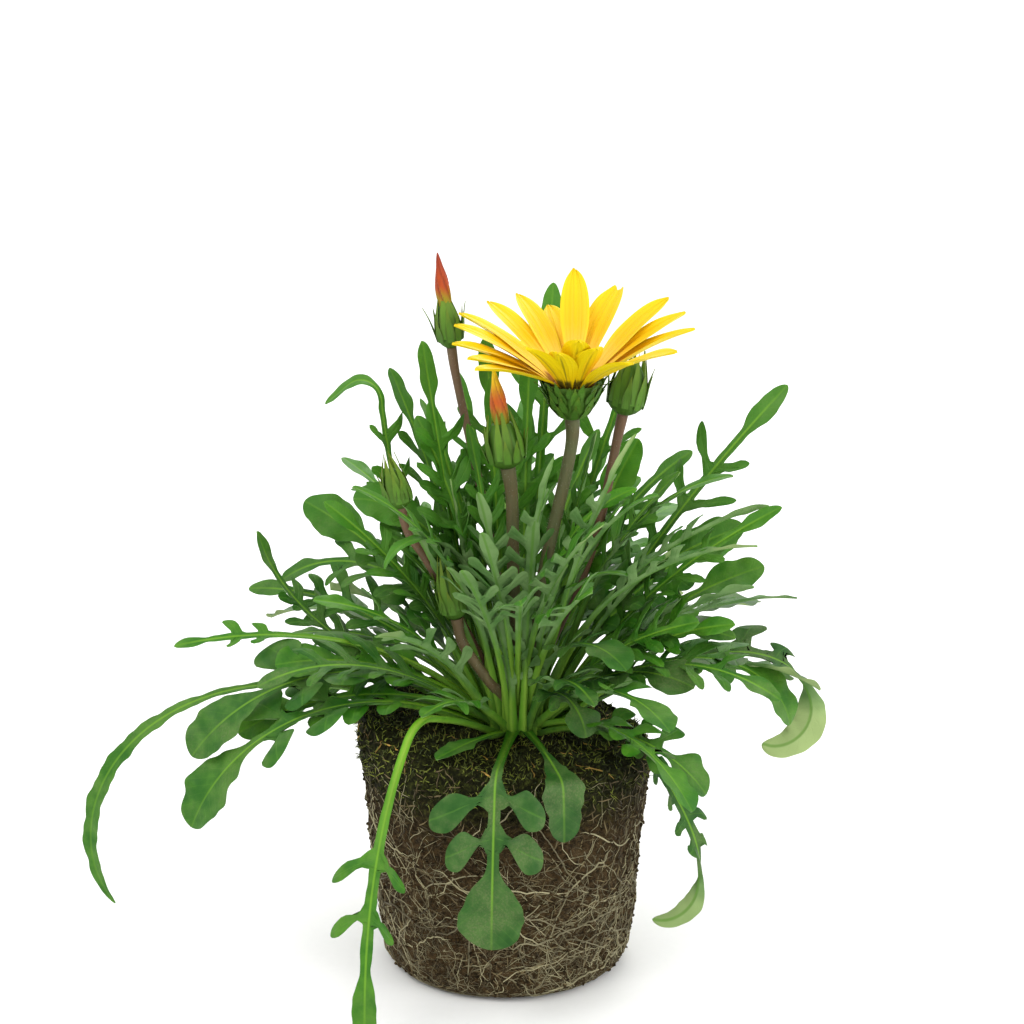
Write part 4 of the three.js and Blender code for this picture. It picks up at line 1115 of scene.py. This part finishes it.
parts = [i / UP_ROWS for i in range(UP_ROWS + 1)] + [1 + (i + 1) / TOP_ROWS for i in range(TOP_ROWS - 1)]
plug_points = [plug_point(2 * math.pi * k / AROUND, part) for part in parts for k in range(AROUND)]
plug_faces = faces_between(len(parts), AROUND)
WALL_FACES = AROUND * UP_ROWS
last = (len(parts) - 1) * AROUND
plug_points += [plug_point(0, 2), (0, 0, 0)]
for k in range(AROUND):
    after = (k + 1) % AROUND
    plug_faces.append((last + k, last + after, len(plug_points) - 2))
    plug_faces.append((after, k, len(plug_points) - 1))


def soil_mesh(name, faces):
    data = bpy.data.meshes.new(name)
    data.from_pydata((np.array(plug_points) * MM).tolist(), [], faces)
    return data


finished("soil", soil_mesh("soil", plug_faces), SOIL, "soil", "soil_plug", crease=80)

# %% [markdown]
# ## Roots on the plug
# Roots feel their way round the wall of the pot: a few thick ones, many thinner ones and a mass of
# threads, cream when young and tan when old. One rule grows all three sorts: lines are scattered over the
# wall, mostly level, blown about by noise and laid back onto the nearest soil.

# %% Roots on the plug
wall = soil_mesh("wall", plug_faces[AROUND:WALL_FACES])
lying = {sides: strand_rule(f"lying_strands_{sides}", ROOT, True, sides) for sides in (3, 4, 6)}
ROOT_SORTS = {                        # sides of a strand, then the rule's sizes in metres
    "roots_thick": (6, dict(Density=2200.0, Length=0.105, Thickness=0.00035, Wander=0.007, Spread=0.9,
                            Low=0.070, High=0.008, Points=40, Seed=11)),
    "roots_thin": (4, dict(Density=10500.0, Length=0.055, Thickness=0.00022, Wander=0.006, Spread=1.2,
                           Low=0.078, High=0.010, Points=22, Seed=12)),
    "root_threads": (3, dict(Density=70000.0, Length=0.026, Thickness=0.00013, Wander=0.004, Spread=1.5,
                             Low=0.090, High=0.010, Points=10, Seed=13)),
}
for name, (sides, sizes) in ROOT_SORTS.items():
    finished(name, grown(lying[sides], wall, **sizes), ROOT, "root", "root_net", crease=80)

fibre_rule = strand_rule("peat_fibres", PEAT_FIBRE, True, 3)
fibres = grown(fibre_rule, wall, Density=60000.0, Length=0.0075, Thickness=0.00022, Wander=0.0006,
               Spread=3.1, Low=-1.0, High=-0.9, Points=4, Seed=21)
finished("peat_fibres", fibres, PEAT_FIBRE, "soil", crease=80)

# %% [markdown]
# ## Crumbs
# Loose crumbs of peat break the smooth light on the plug. A small faceted ball is set on scattered points,
# squashed and turned at random; at this size nobody sees that it has only twenty faces.

# %% Crumbs
def crumb_rule():
    rule = Growth("crumbs", Density=50000.0, Size=0.0009, Seed=1)
    given = rule.given
    spots = rule.node("GeometryNodeDistributePointsOnFaces", None,
                      {"Mesh": given["Base"], "Density": given["Density"], "Seed": given["Seed"]})
    ball = rule.node("GeometryNodeMeshIcoSphere", None, {"Radius": 1.0, "Subdivisions": 1})
    turn = rule.vector(*[rule.chance(0, 6.3, i) for i in (1, 2, 3)])
    squash = rule.vector(*[rule.chance(0.35, 1.3, i) for i in (4, 5, 6)])
    size = rule.reckon_vector("SCALE", squash, given["Size"])
    balls = rule.node("GeometryNodeInstanceOnPoints", None,
                      {"Points": spots, "Instance": ball, "Rotation": turn, "Scale": size})
    return rule.done(balls, SOIL)


crust = soil_mesh("crust", plug_faces[AROUND * 2:-2 * AROUND])
crumbs = grown(crumb_rule(), crust, Density=65000.0, Size=0.00085, Seed=31)
finished("crumbs", crumbs, SOIL, "soil", crease=20)

# %% [markdown]
# ## Moss
# Around the rim grows moss: dark, short shoots with brighter sprigs between them, and a few bits of straw
# lie in it. Particle hair could make the shoots, but it leaves no mesh with faces. The rule for strands
# does, so moss is standing strands on the top of the soil and the upper edge of the wall.

# %% Moss
MOSSY_ROWS = 16                       # rows of the wall, down from the rim, that moss may grow on

moss_bed = soil_mesh("moss_bed", plug_faces[AROUND * (UP_ROWS - MOSSY_ROWS):-2 * AROUND])
moss_rule = strand_rule("standing_strands", MOSS, False, 3)
moss = grown(moss_rule, moss_bed, Density=260000.0, Length=0.0034, Thickness=0.00026, Wander=0.0009,
             Spread=1.1, Low=0.064, High=0.086, Points=3, Seed=41)
finished("moss", moss, MOSS, "soil", crease=80)

straw_rule = strand_rule("straw", STRAW, True, 3)
straw = grown(straw_rule, moss_bed, Density=9000.0, Length=0.013, Thickness=0.00028, Wander=0.002,
              Spread=3.1, Low=0.076, High=0.084, Points=6, Seed=42)
finished("straw", straw, STRAW, "soil", crease=80)

# %% [markdown]
# ## Crown
# All leaves rise from one short, thick stem at soil level. Only dark hollows of it show between the leaf
# stalks, so it is a turned lump with some noise, in a dull dark green.

# %% Crown
def turned(profile, sides, wobble=None):
    """Points and faces of a solid turned about Z; the profile starts and ends on the axis."""
    rings = profile[1:-1]
    points = [(0, 0, profile[0][1])]
    for radius, height in rings:
        for k in range(sides):
            angle = 2 * math.pi * k / sides
            swell = wobble(angle, height) if wobble else 1
            points.append((radius * swell * math.cos(angle), radius * swell * math.sin(angle), height))
    points.append((0, 0, profile[-1][1]))
    faces = [(0, 1 + (k + 1) % sides, 1 + k) for k in range(sides)]
    faces += faces_between(len(rings), sides, 1)
    top = 1 + (len(rings) - 1) * sides
    faces += [(top + k, top + (k + 1) % sides, len(points) - 1) for k in range(sides)]
    return np.array(points, float), faces


def crown_finish():
    crown = Finish("crown")
    blot = crown.grain(3, 3)
    colour = crown.mix(blot, shade(0.018, 0.045, 0.006), shade(0.10, 0.15, 0.03))
    return crown.done(colour, 0.7, blot, 0.6)


def crown_wobble(angle, height):
    return 1 + 0.10 * math.sin(angle * 7 + height) + 0.05 * math.sin(angle * 12)


heap = Heap()
points, faces = turned([(0, 78), (9, 78), (10, 82), (9.6, 86), (7, 89), (3, 90.5), (0, 91)], 48, crown_wobble)
heap.add(points + CROWN, faces, (0, 0, 0), (1, 0.5, 0))
heap.piece("crown", crown_finish(), "leaf", "foliage")

# %% [markdown]
# ## Stalks
# The head and each bud stand on a round, bare, finely haired stalk. A stalk is a tube that follows a
# smooth path through a few places: a growth rule sweeps the tube, thickens it a little at both ends and
# gives it ridges; a second one sets the hairs.

# %% Stalks
STALK_HOLE = 3.0                      # mm deep, the hole in the crown that a stalk stands in
STALK_ROOT = 9.0                      # mm that it reaches down below that
STALK_RISE = 6.0                      # mm that it goes straight up at first
STALK_NECK = 9.0                      # mm that it goes straight below its cup


@dataclass(frozen=True)
class Stalk:
    name: str
    radius: float
    foot: tuple                       # where it stands, from the crown's middle
    via: tuple                        # a place on its way
    base: tuple                       # of its cup
    lean: tuple                       # heading and degrees off upright
    tone: float                       # 0 olive, 1 brown


HEAD_AXIS = np.array([0, -math.sin(math.radians(HEAD_LEAN)), math.cos(math.radians(HEAD_LEAN))])
STALKS = [
    Stalk("flower", 2.2, (4.2, -0.6), (11.5, -5, 134), tuple(HEAD_PLACE - HEAD_AXIS * CUP_HEIGHT),
          (270, HEAD_LEAN), 0.35),
    Stalk("bud_red_tall", 1.5, (-1.6, 4.8), (-5, 7, 148), (-18.3, 10, 216), (180, 8), 0.8),
    Stalk("bud_orange_front", 2.2, (1.6, -4.6), (2.6, -12, 138), (0.6, -11, 180), (180, 8), 0.5),
    Stalk("bud_green_right", 1.7, (3.4, 4.4), (29, 7.5, 145), (39.5, 12, 192.5), (10, 12), 1.0),
    Stalk("bud_green_front", 1.9, (-2.6, -5.4), (-6.6, -16.9, 108), (-16.5, -20, 130.5), (190, 12), 0.6),
    Stalk("bud_green_left", 1.4, (-5.4, -1.6), (-26, -15.5, 148), (-34.8, -15, 167.2), (180, 14), 0.9),
]


def lean_axis(heading, lean):
    heading, lean = math.radians(heading), math.radians(lean)
    return np.array([math.sin(lean) * math.cos(heading), math.sin(lean) * math.sin(heading), math.cos(lean)])


def through(points, steps=14):
    """A smooth path through places far and near: a centripetal Catmull-Rom curve."""
    points = [2 * points[0] - points[1], *points, 2 * points[-1] - points[-2]]
    path = []
    for a, b, c, d in zip(points, points[1:], points[2:], points[3:]):
        ta, tb = 0.0, math.sqrt(np.linalg.norm(b - a))
        tc = tb + math.sqrt(np.linalg.norm(c - b))
        td = tc + math.sqrt(np.linalg.norm(d - c))
        for t in np.linspace(tb, tc, steps, endpoint=False):
            ab = a * (tb - t) / (tb - ta) + b * (t - ta) / (tb - ta)
            bc = b * (tc - t) / (tc - tb) + c * (t - tb) / (tc - tb)
            cd = c * (td - t) / (td - tc) + d * (t - tc) / (td - tc)
            abc = ab * (tc - t) / (tc - ta) + bc * (t - ta) / (tc - ta)
            bcd = bc * (td - t) / (td - tb) + cd * (t - tb) / (td - tb)
            path.append(abc * (tc - t) / (tc - tb) + bcd * (t - tb) / (tc - tb))
    return np.array([*path, points[-2]])


def stalk_path(stalk):
    foot = CROWN + [*stalk.foot, CROWN_TOP - STALK_HOLE + GAP]
    base, axis = np.array(stalk.base), lean_axis(*stalk.lean)
    places = [foot, foot + [0, 0, STALK_RISE], np.array(stalk.via, float), base - axis * STALK_NECK,
              base - axis * GAP]
    return np.vstack([foot - [0, 0, STALK_ROOT], through(places)])


def stalk_rule(material):
    rule = Growth("stalk", Radius=0.002, Tone=0.5, Seed=1)
    curve = rule.node("GeometryNodeMeshToCurve", None, {"Mesh": rule.given["Base"]})
    curve = rule.node("GeometryNodeResampleCurve", None, {"Curve": curve, "Count": 70})
    along = rule.node("GeometryNodeSplineParameter")
    tone = rule.vector(rule.given["Tone"], along, 0.0)
    curve = rule.node("GeometryNodeStoreNamedAttribute", {"data_type": "FLOAT_VECTOR", "domain": "POINT"},
                      {"Geometry": curve, "Name": "growth", "Value": tone})
    ring = rule.node("GeometryNodeCurvePrimitiveCircle", None, {"Resolution": 20, "Radius": 1.0})
    place = rule.node("GeometryNodeInputPosition")
    angle = rule.node("ShaderNodeSeparateXYZ", None, {"Vector": place})
    bearing = rule.reckon("ARCTAN2", angle["Y"], angle["X"])
    ridge = rule.reckon_vector("SCALE", place, (bearing * 10).sine() * 0.05)
    ring = rule.node("GeometryNodeSetPosition", None, {"Geometry": ring, "Offset": ridge})
    swell = 0.94 + 0.20 * along.smooth(0.90, 1.0) + 0.25 * along.smooth(0.25, 0.0)
    tube = rule.node("GeometryNodeCurveToMesh", None,
                     {"Curve": curve, "Profile Curve": ring, "Scale": rule.given["Radius"] * swell,
                      "Fill Caps": True})
    return rule.done(tube, material)


def stalk_finish():
    stalk = Finish("stalk")
    tone, along, _ = stalk.mark("growth")
    streak = stalk.grain(2.0, 3, (1, 1, 0.08))
    blot = stalk.grain(6, 2)
    olive = stalk.mix(streak, shade(0.040, 0.068, 0.014), shade(0.115, 0.145, 0.055))
    brown = stalk.mix(streak, shade(0.060, 0.030, 0.012), shade(0.185, 0.095, 0.045))
    skin = stalk.mix((tone * 0.9 + blot * 0.6 - 0.25).smooth(0.0, 1.0), olive, brown)
    foot = stalk.mix(along.smooth(0.35, 0.02) * 0.85, skin, shade(0.070, 0.125, 0.012))
    return stalk.done(foot, 0.6, streak, 0.15)


STALK = stalk_finish()
HAIR = strand_finish("hair", shade(0.20, 0.21, 0.14), shade(0.42, 0.42, 0.32), 0.6)
tube_rule = stalk_rule(STALK)
hair_rule = strand_rule("hairs", HAIR, False, 3)
for stalk in STALKS:
    path = stalk_path(stalk)
    line = bpy.data.meshes.new("path")
    line.from_pydata((path * MM).tolist(), [(i, i + 1) for i in range(len(path) - 1)], [])
    tube = grown(tube_rule, line, Radius=stalk.radius * MM, Tone=stalk.tone)
    hairs = grown(hair_rule, tube.copy(), Density=380000.0, Length=0.0011, Thickness=0.00004, Wander=0.0001,
                  Spread=0.5, Low=0.086, High=0.1, Points=2, Seed=51)
    finished(stalk.name + "_stem", tube, STALK, "stalk", stalk.name + "_stalk", crease=80)
    finished(stalk.name + "_hairs", hairs, HAIR, "stalk", crease=80)

# %% [markdown]
# ## Petal finish
# A petal is golden yellow, a little paler at its edges and near its foot, with fine lines along it and a
# small dark spot at its base, and painted shade darkens its two furrows. Its back has a dull stripe down
# the middle, and from the middle out it is painted paler, for light that shines through the petal. A
# painted picture would have to be bent to each petal. The marks on the mesh say how far along and across a
# place is, so one finish fits all of them.

# %% Petal finish
def petal_finish():
    petal = Finish("petal")
    _, _, under = petal.mark("blade")
    part, tone, wide = petal.mark("growth")
    streak = petal.grain(1.2)
    line = (wide * 21).sine().smooth(0.2, 1.0)
    gold = petal.mix(part.smooth(0.15, 0.50), shade(0.81, 0.50, 0.070), shade(0.78, 0.46, 0.004))
    gold = petal.mix(part.smooth(0.45, 0.95), gold, shade(0.76, 0.54, 0.004))
    edge = petal.mix(abs(wide).smooth(0.55, 1.0) * 0.6, gold, shade(0.74, 0.60, 0.010))
    # Painted shade: the two furrows are darkened to a deeper orange on the face, and a little on the back.
    furrow = 1 - abs(abs(wide) - 0.33).smooth(0.02, 0.14)
    face = petal.mix(line * 0.08 + furrow * 0.18, edge, shade(0.66, 0.38, 0.004))
    spot = 1 - (part + abs(wide) * 0.05).smooth(0.08, 0.15)
    face = petal.mix(spot * 0.85, face, shade(0.20, 0.05, 0.008))

    # The back is partly its own yellow and partly painted light: from the middle out it is paler than the
    # face, standing in for light that shines through the petal.
    back = petal.mix(part.smooth(0.05, 0.7), shade(0.74, 0.48, 0.003), shade(0.84, 0.62, 0.004))
    stripe = (1 - abs(wide).smooth(0.02, 0.13)) * (1 - part.smooth(0.65, 0.92))
    back = petal.mix(stripe * (0.20 + tone * 0.55) + furrow * 0.06, back, shade(0.18, 0.15, 0.010))
    foot = (1 - part.smooth(0.12, 0.21)) * (1 - abs(wide).smooth(0.40, 0.70))
    back = petal.mix(foot * 0.9, back, shade(0.060, 0.040, 0.008))
    colour = petal.mix(under.smooth(0.48, 0.52), face, back)
    return petal.done(colour, 0.42, line * 0.5 + streak * 0.3, 0.15, Specular_IOR_Level=0.18)


PETAL = petal_finish()
print("petal finish:", len(PETAL.node_tree.nodes), "nodes")

# %% [markdown]
# ## Petals
# Nineteen ray petals stand round a small disc in a green cup. A flat plane bent by a modifier would look
# like paper. A real petal is a blade like a leaf, so it is a strip too: two furrows run along it and its
# edges rise a little. Only the broadest shows a notched tip. Each is drawn in the head's own frame and then
# set on the stalk, which leans a little to the front.

# %% Petals
PETALS = [
    (0, 38, 28), (12, 38, 32), (27, 38, 36), (66, 38, 35), (86, 39, 46), (100, 34, 24), (117, 38, 29),
    (138, 38, 28), (167, 38, 31), (183, 38, 31), (196, 38, 25), (209, 36, 23), (222, 38, 20),
    (242, 34, 38), (258, 30, 40), (272, 36, 43), (285, 32, 41), (303, 33, 29), (328, 37, 27),
]                                     # heading, length and lift of each
NOTCHED_PETAL = 66                    # the heading of the broad one whose tip is notched
PETAL_ROWS, PETAL_COLUMNS = 28, 13


def standing(place, axis):
    """Moves points drawn about the origin, with Z up, to a place and turns their Z to an axis."""
    turn = np.array(Vector((0, 0, 1)).rotation_difference(Vector(axis)).to_matrix())
    return lambda points: points @ turn.T + place


def add_petal(heap, heading, length, lift, chance, place):
    root = CUP_RADIUS - 3
    way = math.radians(heading)
    start = np.array([root * math.cos(way), root * math.sin(way), -0.4])
    turn, roll = chance.uniform(-7, 7), chance.uniform(-14, 14)
    rib = bent_rib(start, heading, length, lift + 14, lift - 10, turn, 1, roll)
    t = np.sin(np.linspace(0, 1, PETAL_ROWS) * math.pi / 2)
    past = np.clip((t - 0.58) / 0.42, 0, 1)
    notched = heading == NOTCHED_PETAL
    width = PETAL_WIDTH * (1.1 if notched else chance.uniform(0.92, 1.06))
    blunt, depth = (0.38, 1.8) if notched else (0.06, -0.7)
    half = width / 2 * (0.40 + 0.60 * smooth(0.0, 0.55, t)) * (1 - (1 - blunt) * past**2.3) ** 0.66
    a = np.broadcast_to(np.linspace(-1, 1, PETAL_COLUMNS), (PETAL_ROWS, PETAL_COLUMNS))
    across = a * half[:, None]
    tip_form = (np.cos(2 * np.pi * a * 0.85) + 1) / 2 if notched else 1 - a**2
    notch = depth * smooth(0.80, 1.0, t)[:, None] * tip_form
    distance = (t * length)[:, None] - notch + 0.4 * np.sin(a * 3) * t[:, None]
    furrow = -0.42 * (np.exp(-(((np.abs(a) - 1 / 3) / 0.17) ** 2))) * smooth(0.1, 0.4, t)[:, None]
    hollow = half[:, None] * a**2 * chance.uniform(0.08, 0.30)
    wave = 0.05 * half[:, None] * a**2 * np.sin(t * 9 + chance.uniform(0, 6))[:, None] * np.sign(a)
    body = 0.25 * (1 - np.abs(a) ** 5)
    growth = (t[:, None], chance.uniform(0, 1), a)
    heap.strip(rib, distance, across, furrow + hollow + wave, body, body, growth, place)


head = standing(HEAD_PLACE, HEAD_AXIS)
heap = Heap()
for number, (heading, length, lift) in enumerate(PETALS):
    add_petal(heap, heading, length, lift, random.Random(700 + number), head)
heap.piece("petals", PETAL, "petal", "flower_petals", crease=60)

# %% [markdown]
# ## Disc
# The florets in the middle of a daisy stand on a spiral: each is turned by the golden angle from the last.
# Scattering them at random would leave gaps and pairs. The spiral is a growth rule of a few lines: a
# floret's number gives its angle and its distance from the middle.

# %% Disc
def disc_finish():
    disc = Finish("disc")
    speck = disc.grain(0.8, 2)
    colour = disc.mix(speck.smooth(0.35, 0.65), shade(0.40, 0.15, 0.015), shade(0.86, 0.46, 0.02))
    return disc.done(colour, 0.7, speck, 0.3)


def disc_rule(material):
    rule = Growth("disc", Florets=120, Spacing=0.00047, Dome=0.0028, Size=0.00042, Seed=1)
    given = rule.given
    index = rule.node("GeometryNodeInputIndex")
    turn = index * math.radians(GOLDEN_ANGLE)
    out = given["Spacing"] * index**0.5
    height = given["Dome"] * (1 - index / given["Florets"])
    spot = rule.vector(out * (turn + math.pi / 2).sine(), out * turn.sine(), height)
    spots = rule.node("GeometryNodePoints", None, {"Count": given["Florets"], "Position": spot})
    floret = rule.node("GeometryNodeMeshCone", None,
                       {"Vertices": 6, "Side Segments": 2, "Radius Top": 0.45, "Radius Bottom": 0.9,
                        "Depth": 4.2})
    size = given["Size"] * rule.chance(0.8, 1.15)
    florets = rule.node("GeometryNodeInstanceOnPoints", None,
                        {"Points": spots, "Instance": floret, "Scale": size})
    return rule.done(florets, material)


DISC = disc_finish()
seed_mesh = bpy.data.meshes.new("seed")
seed_mesh.from_pydata([(0, 0, 0), (0.001, 0, 0), (0, 0.001, 0)], [], [(0, 1, 2)])
disc_mesh = grown(disc_rule(DISC), seed_mesh)
places = np.array([v.co for v in disc_mesh.vertices])
disc_mesh.vertices.foreach_set("co", (head(places / MM) * MM).astype(np.float32).reshape(-1))
finished("disc", disc_mesh, DISC, "disc", "flower_disc", crease=30)

# %% [markdown]
# ## Cups and bracts
# Below the petals sits a green cup of grown-together bracts with free points. A turned cup alone would
# look cast, so it is covered with rings of bracts. Each is one more strip, pointed this time. Inside, the
# floor that the florets stand on is brown. The same parts, closed up tightly, make the buds.

# %% Cups and bracts
FLORET_BED = 7.8                      # mm from the head's place: how far the brown floor goes
BRACT_TWIST = 10                      # degrees that a bract rolls at most
BRACT_ROWS, BRACT_COLUMNS = 11, 5


def cup_finish():
    cup = Finish("cup")
    across, _, _ = cup.mark("blade")
    part, tone, fresh = cup.mark("growth")
    blot = cup.grain(4, 3)
    streak = cup.grain(1.2, 2, (1, 1, 0.2))
    green = cup.mix(blot * 0.6 + tone * 0.5, shade(0.020, 0.080, 0.004), shade(0.085, 0.230, 0.012))
    green = cup.mix(streak * 0.25, green, shade(0.13, 0.20, 0.06))
    green = cup.mix(fresh * (0.02 + part * 0.58), green, shade(0.14, 0.215, 0.010))
    edge = abs(across).smooth(0.7, 1.5) * (1 - part.smooth(0.6, 0.9)) * 0.45
    green = cup.mix(edge, green, shade(0.040, 0.050, 0.008))
    tipped = cup.mix(part.smooth(0.45, 1.0) * 0.35, green, shade(0.160, 0.170, 0.012))
    from_disc = cup.node("ShaderNodeVectorMath", {"operation": "DISTANCE"},
                         {0: cup.place, 1: tuple(HEAD_PLACE * MM)}, "Value") / MM
    floor_of_head = 1 - from_disc.smooth(FLORET_BED - 0.6, FLORET_BED)
    whole = cup.mix(floor_of_head, tipped, cup.mix(blot, shade(0.11, 0.030, 0.005), shade(0.30, 0.10, 0.010)))
    return cup.done(whole, 0.6, streak, 0.2, Specular_IOR_Level=0.25)


CUP = cup_finish()


def add_bract(heap, heading, radius, height, length, width, lift, end, chance, place, fresh=0.0):
    way = math.radians(heading)
    start = np.array([radius * math.cos(way), radius * math.sin(way), height])
    rib = bent_rib(start, heading, length, lift, end, 0, 1, chance.uniform(-BRACT_TWIST, BRACT_TWIST))
    t = np.linspace(0, 1, BRACT_ROWS)
    half = width / 2 * (1 - t**2.0) * (0.72 + 0.38 * np.sin(np.pi * np.minimum(t * 1.5, 1))) + 0.06
    a = np.broadcast_to(np.linspace(-1, 1, BRACT_COLUMNS), (BRACT_ROWS, BRACT_COLUMNS))
    across = a * half[:, None]
    distance = np.broadcast_to((t * length)[:, None], a.shape)
    body = 0.32 * (1 - a**2) * (1 - 0.6 * t[:, None])
    middle = -0.25 * half[:, None] * a**2
    growth = (t[:, None], chance.uniform(0, 1), fresh)
    heap.strip(rib, distance, across, middle, body, body, growth, place)


def add_turned(heap, profile, sides, place, wobble):
    points, faces = turned(profile, sides, wobble)
    heap.add(place(points), faces, (1, 0, 0), (0.2, 0.4, 0))


heap = Heap()
chance = random.Random(61)
funnel = [(0, -12.8), (2.5, -12.8), (4.2, -11.9), (5.8, -10.2), (7.1, -8.0), (8.1, -5.6), (8.9, -3.2),
          (9.3, -1.4), (9.3, -0.2), (8.9, 0.3), (8.0, -0.5), (0, -0.7)]
add_turned(heap, funnel, 60, head, lambda angle, height: 1 + 0.05 * math.cos(angle * 15))
BRACT_RINGS = [                       # count, radius, height, length, width, lift and lift at the tip
    (17, 9.3, -2.6, 6.6, 2.7, 76, 34), (14, 8.5, -5.2, 8.0, 3.0, 70, 44), (12, 7.0, -8.4, 8.6, 3.2, 64, 50),
    (9, 4.6, -11.6, 8.0, 3.0, 50, 60),
]
for count, radius, height, length, width, lift, end in BRACT_RINGS:
    for i in range(count):
        heading = (i + 0.5 * chance.random() + radius) * 360 / count
        add_bract(heap, heading, radius, height, length * chance.uniform(0.8, 1.2), width,
                  lift, end + chance.uniform(-12, 12), chance, head)
heap.piece("cup", CUP, "cup", "flower_cup", crease=60)

# %% [markdown]
# ## Buds
# Five buds stand between the leaves. A red and an orange one already show their petals, rolled round each
# other like an umbrella; three green ones are still shut. Rolling up real strips would take many triangles
# that nobody sees, so the roll is one slim cone whose radius jumps back at each petal's edge. The urn below
# it is turned, and upright bracts close round it.

# %% Buds
@dataclass(frozen=True)
class Bud:
    radius: float
    height: float
    petals: float                     # how far its rolled petals show
    stand: float                      # how its bracts stand; 90 is upright


BUDS = [Bud(4.8, 14.5, 17.3, 86), Bud(7.0, 15, 18.5, 84), Bud(7.0, 17, 0, 92), Bud(5.2, 15.5, 0, 94),
        Bud(5.0, 13, 0, 94)]
WIDEST_ROLL = 5.6                     # a roll of petals is no wider than in a cup of this radius
BUD_BRACTS = 9                        # in each of a bud's two rings


def bud_petal_finish(name, foot, middle, tip):
    """Rolled petals: paler at the foot, with darker lines along their edges."""
    bud = Finish(name)
    part, _, fold = bud.mark("growth")
    streak = bud.grain(1.0, 2, (1, 1, 0.15))
    dark = shade(0.11, 0.016, 0.005)
    lower = bud.mix((part + fold * 0.12).smooth(0.16, 0.50), foot, middle)
    whole = bud.mix(part.smooth(0.45, 0.95), lower, tip)
    lined = bud.mix(fold.smooth(0.55, 1.0) * 0.5, whole, dark)
    streaked = bud.mix(streak.smooth(0.45, 0.75) * 0.35, lined, dark)
    return bud.done(streaked, 0.5, streak, 0.2, Specular_IOR_Level=0.25)


BUD_PETALS = {
    "bud_red_tall": bud_petal_finish("bud_petals_red", shade(0.26, 0.22, 0.008), shade(0.37, 0.052, 0.006),
                                     shade(0.27, 0.030, 0.007)),
    "bud_orange_front": bud_petal_finish("bud_petals_orange", shade(0.22, 0.22, 0.008),
                                         shade(0.46, 0.085, 0.006), shade(0.80, 0.56, 0.005)),
}


def add_rolled_petals(heap, bud, place):
    """A slim twisted cone whose overlapping petal edges show as creases."""
    rows, sides, petals = 30, 48, 5
    from_height, length = bud.height * 0.9, bud.petals + bud.height * 0.1 + GAP
    points, marks = [], []
    for row in range(rows + 1):
        part = row / rows
        swell = (0.40 + 0.14 * math.sin(math.pi * min(part * 1.3, 1))) * (1 - part**2.6) ** 0.9 + 0.04
        for k in range(sides):
            angle = 2 * math.pi * k / sides
            fold = (angle * petals / (2 * math.pi) + part * 1.6) % 1
            radius = min(bud.radius, WIDEST_ROLL) * swell * (1 - 0.16 * fold)
            points.append((radius * math.cos(angle), radius * math.sin(angle), from_height + length * part))
            marks.append((part, 0.5, fold))
    faces = faces_between(rows + 1, sides)
    faces.append(tuple(reversed(range(sides))))
    faces.append(tuple(rows * sides + k for k in range(sides)))
    heap.add(place(np.array(points)), faces, (1, 0, 0), np.array(marks))


for number, (stalk, bud) in enumerate(zip(STALKS[1:], BUDS)):
    place = standing(np.array(stalk.base, float), lean_axis(*stalk.lean))
    chance = random.Random(80 + number)
    radius, height = bud.radius, bud.height
    urn = [(0, -0.2), (radius * 0.36, -0.2), (radius * 0.62, height * 0.06), (radius * 0.84, height * 0.16),
           (radius * 0.92, height * 0.28), (radius * 0.86, height * 0.45), (radius * 0.74, height * 0.65)]
    if bud.petals:
        urn += [(radius * 0.62, height * 0.85), (radius * 0.46, height), (0, height)]
    else:
        urn += [(radius * 0.56, height * 0.85), (radius * 0.32, height), (0, height * 1.1)]
    heap = Heap()
    add_turned(heap, urn, 42, place, lambda angle, level: 1 + 0.035 * math.cos(angle * 14))
    for i in range(BUD_BRACTS):
        heading = 360 * (i + 0.4 * chance.random()) / BUD_BRACTS
        add_bract(heap, heading, radius * 0.90, height * 0.24, height * chance.uniform(0.95, 1.25), 3.2,
                  94, 110 + chance.uniform(-10, 6), chance, place, fresh=1.0)
        add_bract(heap, heading + 20, radius * 0.88, height * 0.16, height * chance.uniform(0.55, 0.90), 3.0,
                  bud.stand - 4, bud.stand + 6 - chance.uniform(0, 34), chance, place, fresh=0.6)
    heap.piece(stalk.name + "_bracts", CUP, "cup", stalk.name + "_cup", crease=60)
    if bud.petals:
        heap = Heap()
        add_rolled_petals(heap, bud, place)
        slot = "bud_red" if number == 0 else "bud_orange"
        heap.piece(stalk.name + "_rolled", BUD_PETALS[stalk.name], slot, stalk.name + "_petals", crease=30)

# %% [markdown]
# ## Close the lesson
# The box of the finished plant is set beside the box of the solids, as a last look at whether anything
# grew out of bounds. Every piece has its place and its nodes by now, so the frame can be closed.

# %% Close the lesson
low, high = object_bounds()
{"cad": [list(corner) for corner in CAD_BOX], "visual": [list(low), list(high)]}
print("visual box", [tuple(round(x, 3) for x in corner) for corner in (low, high)])
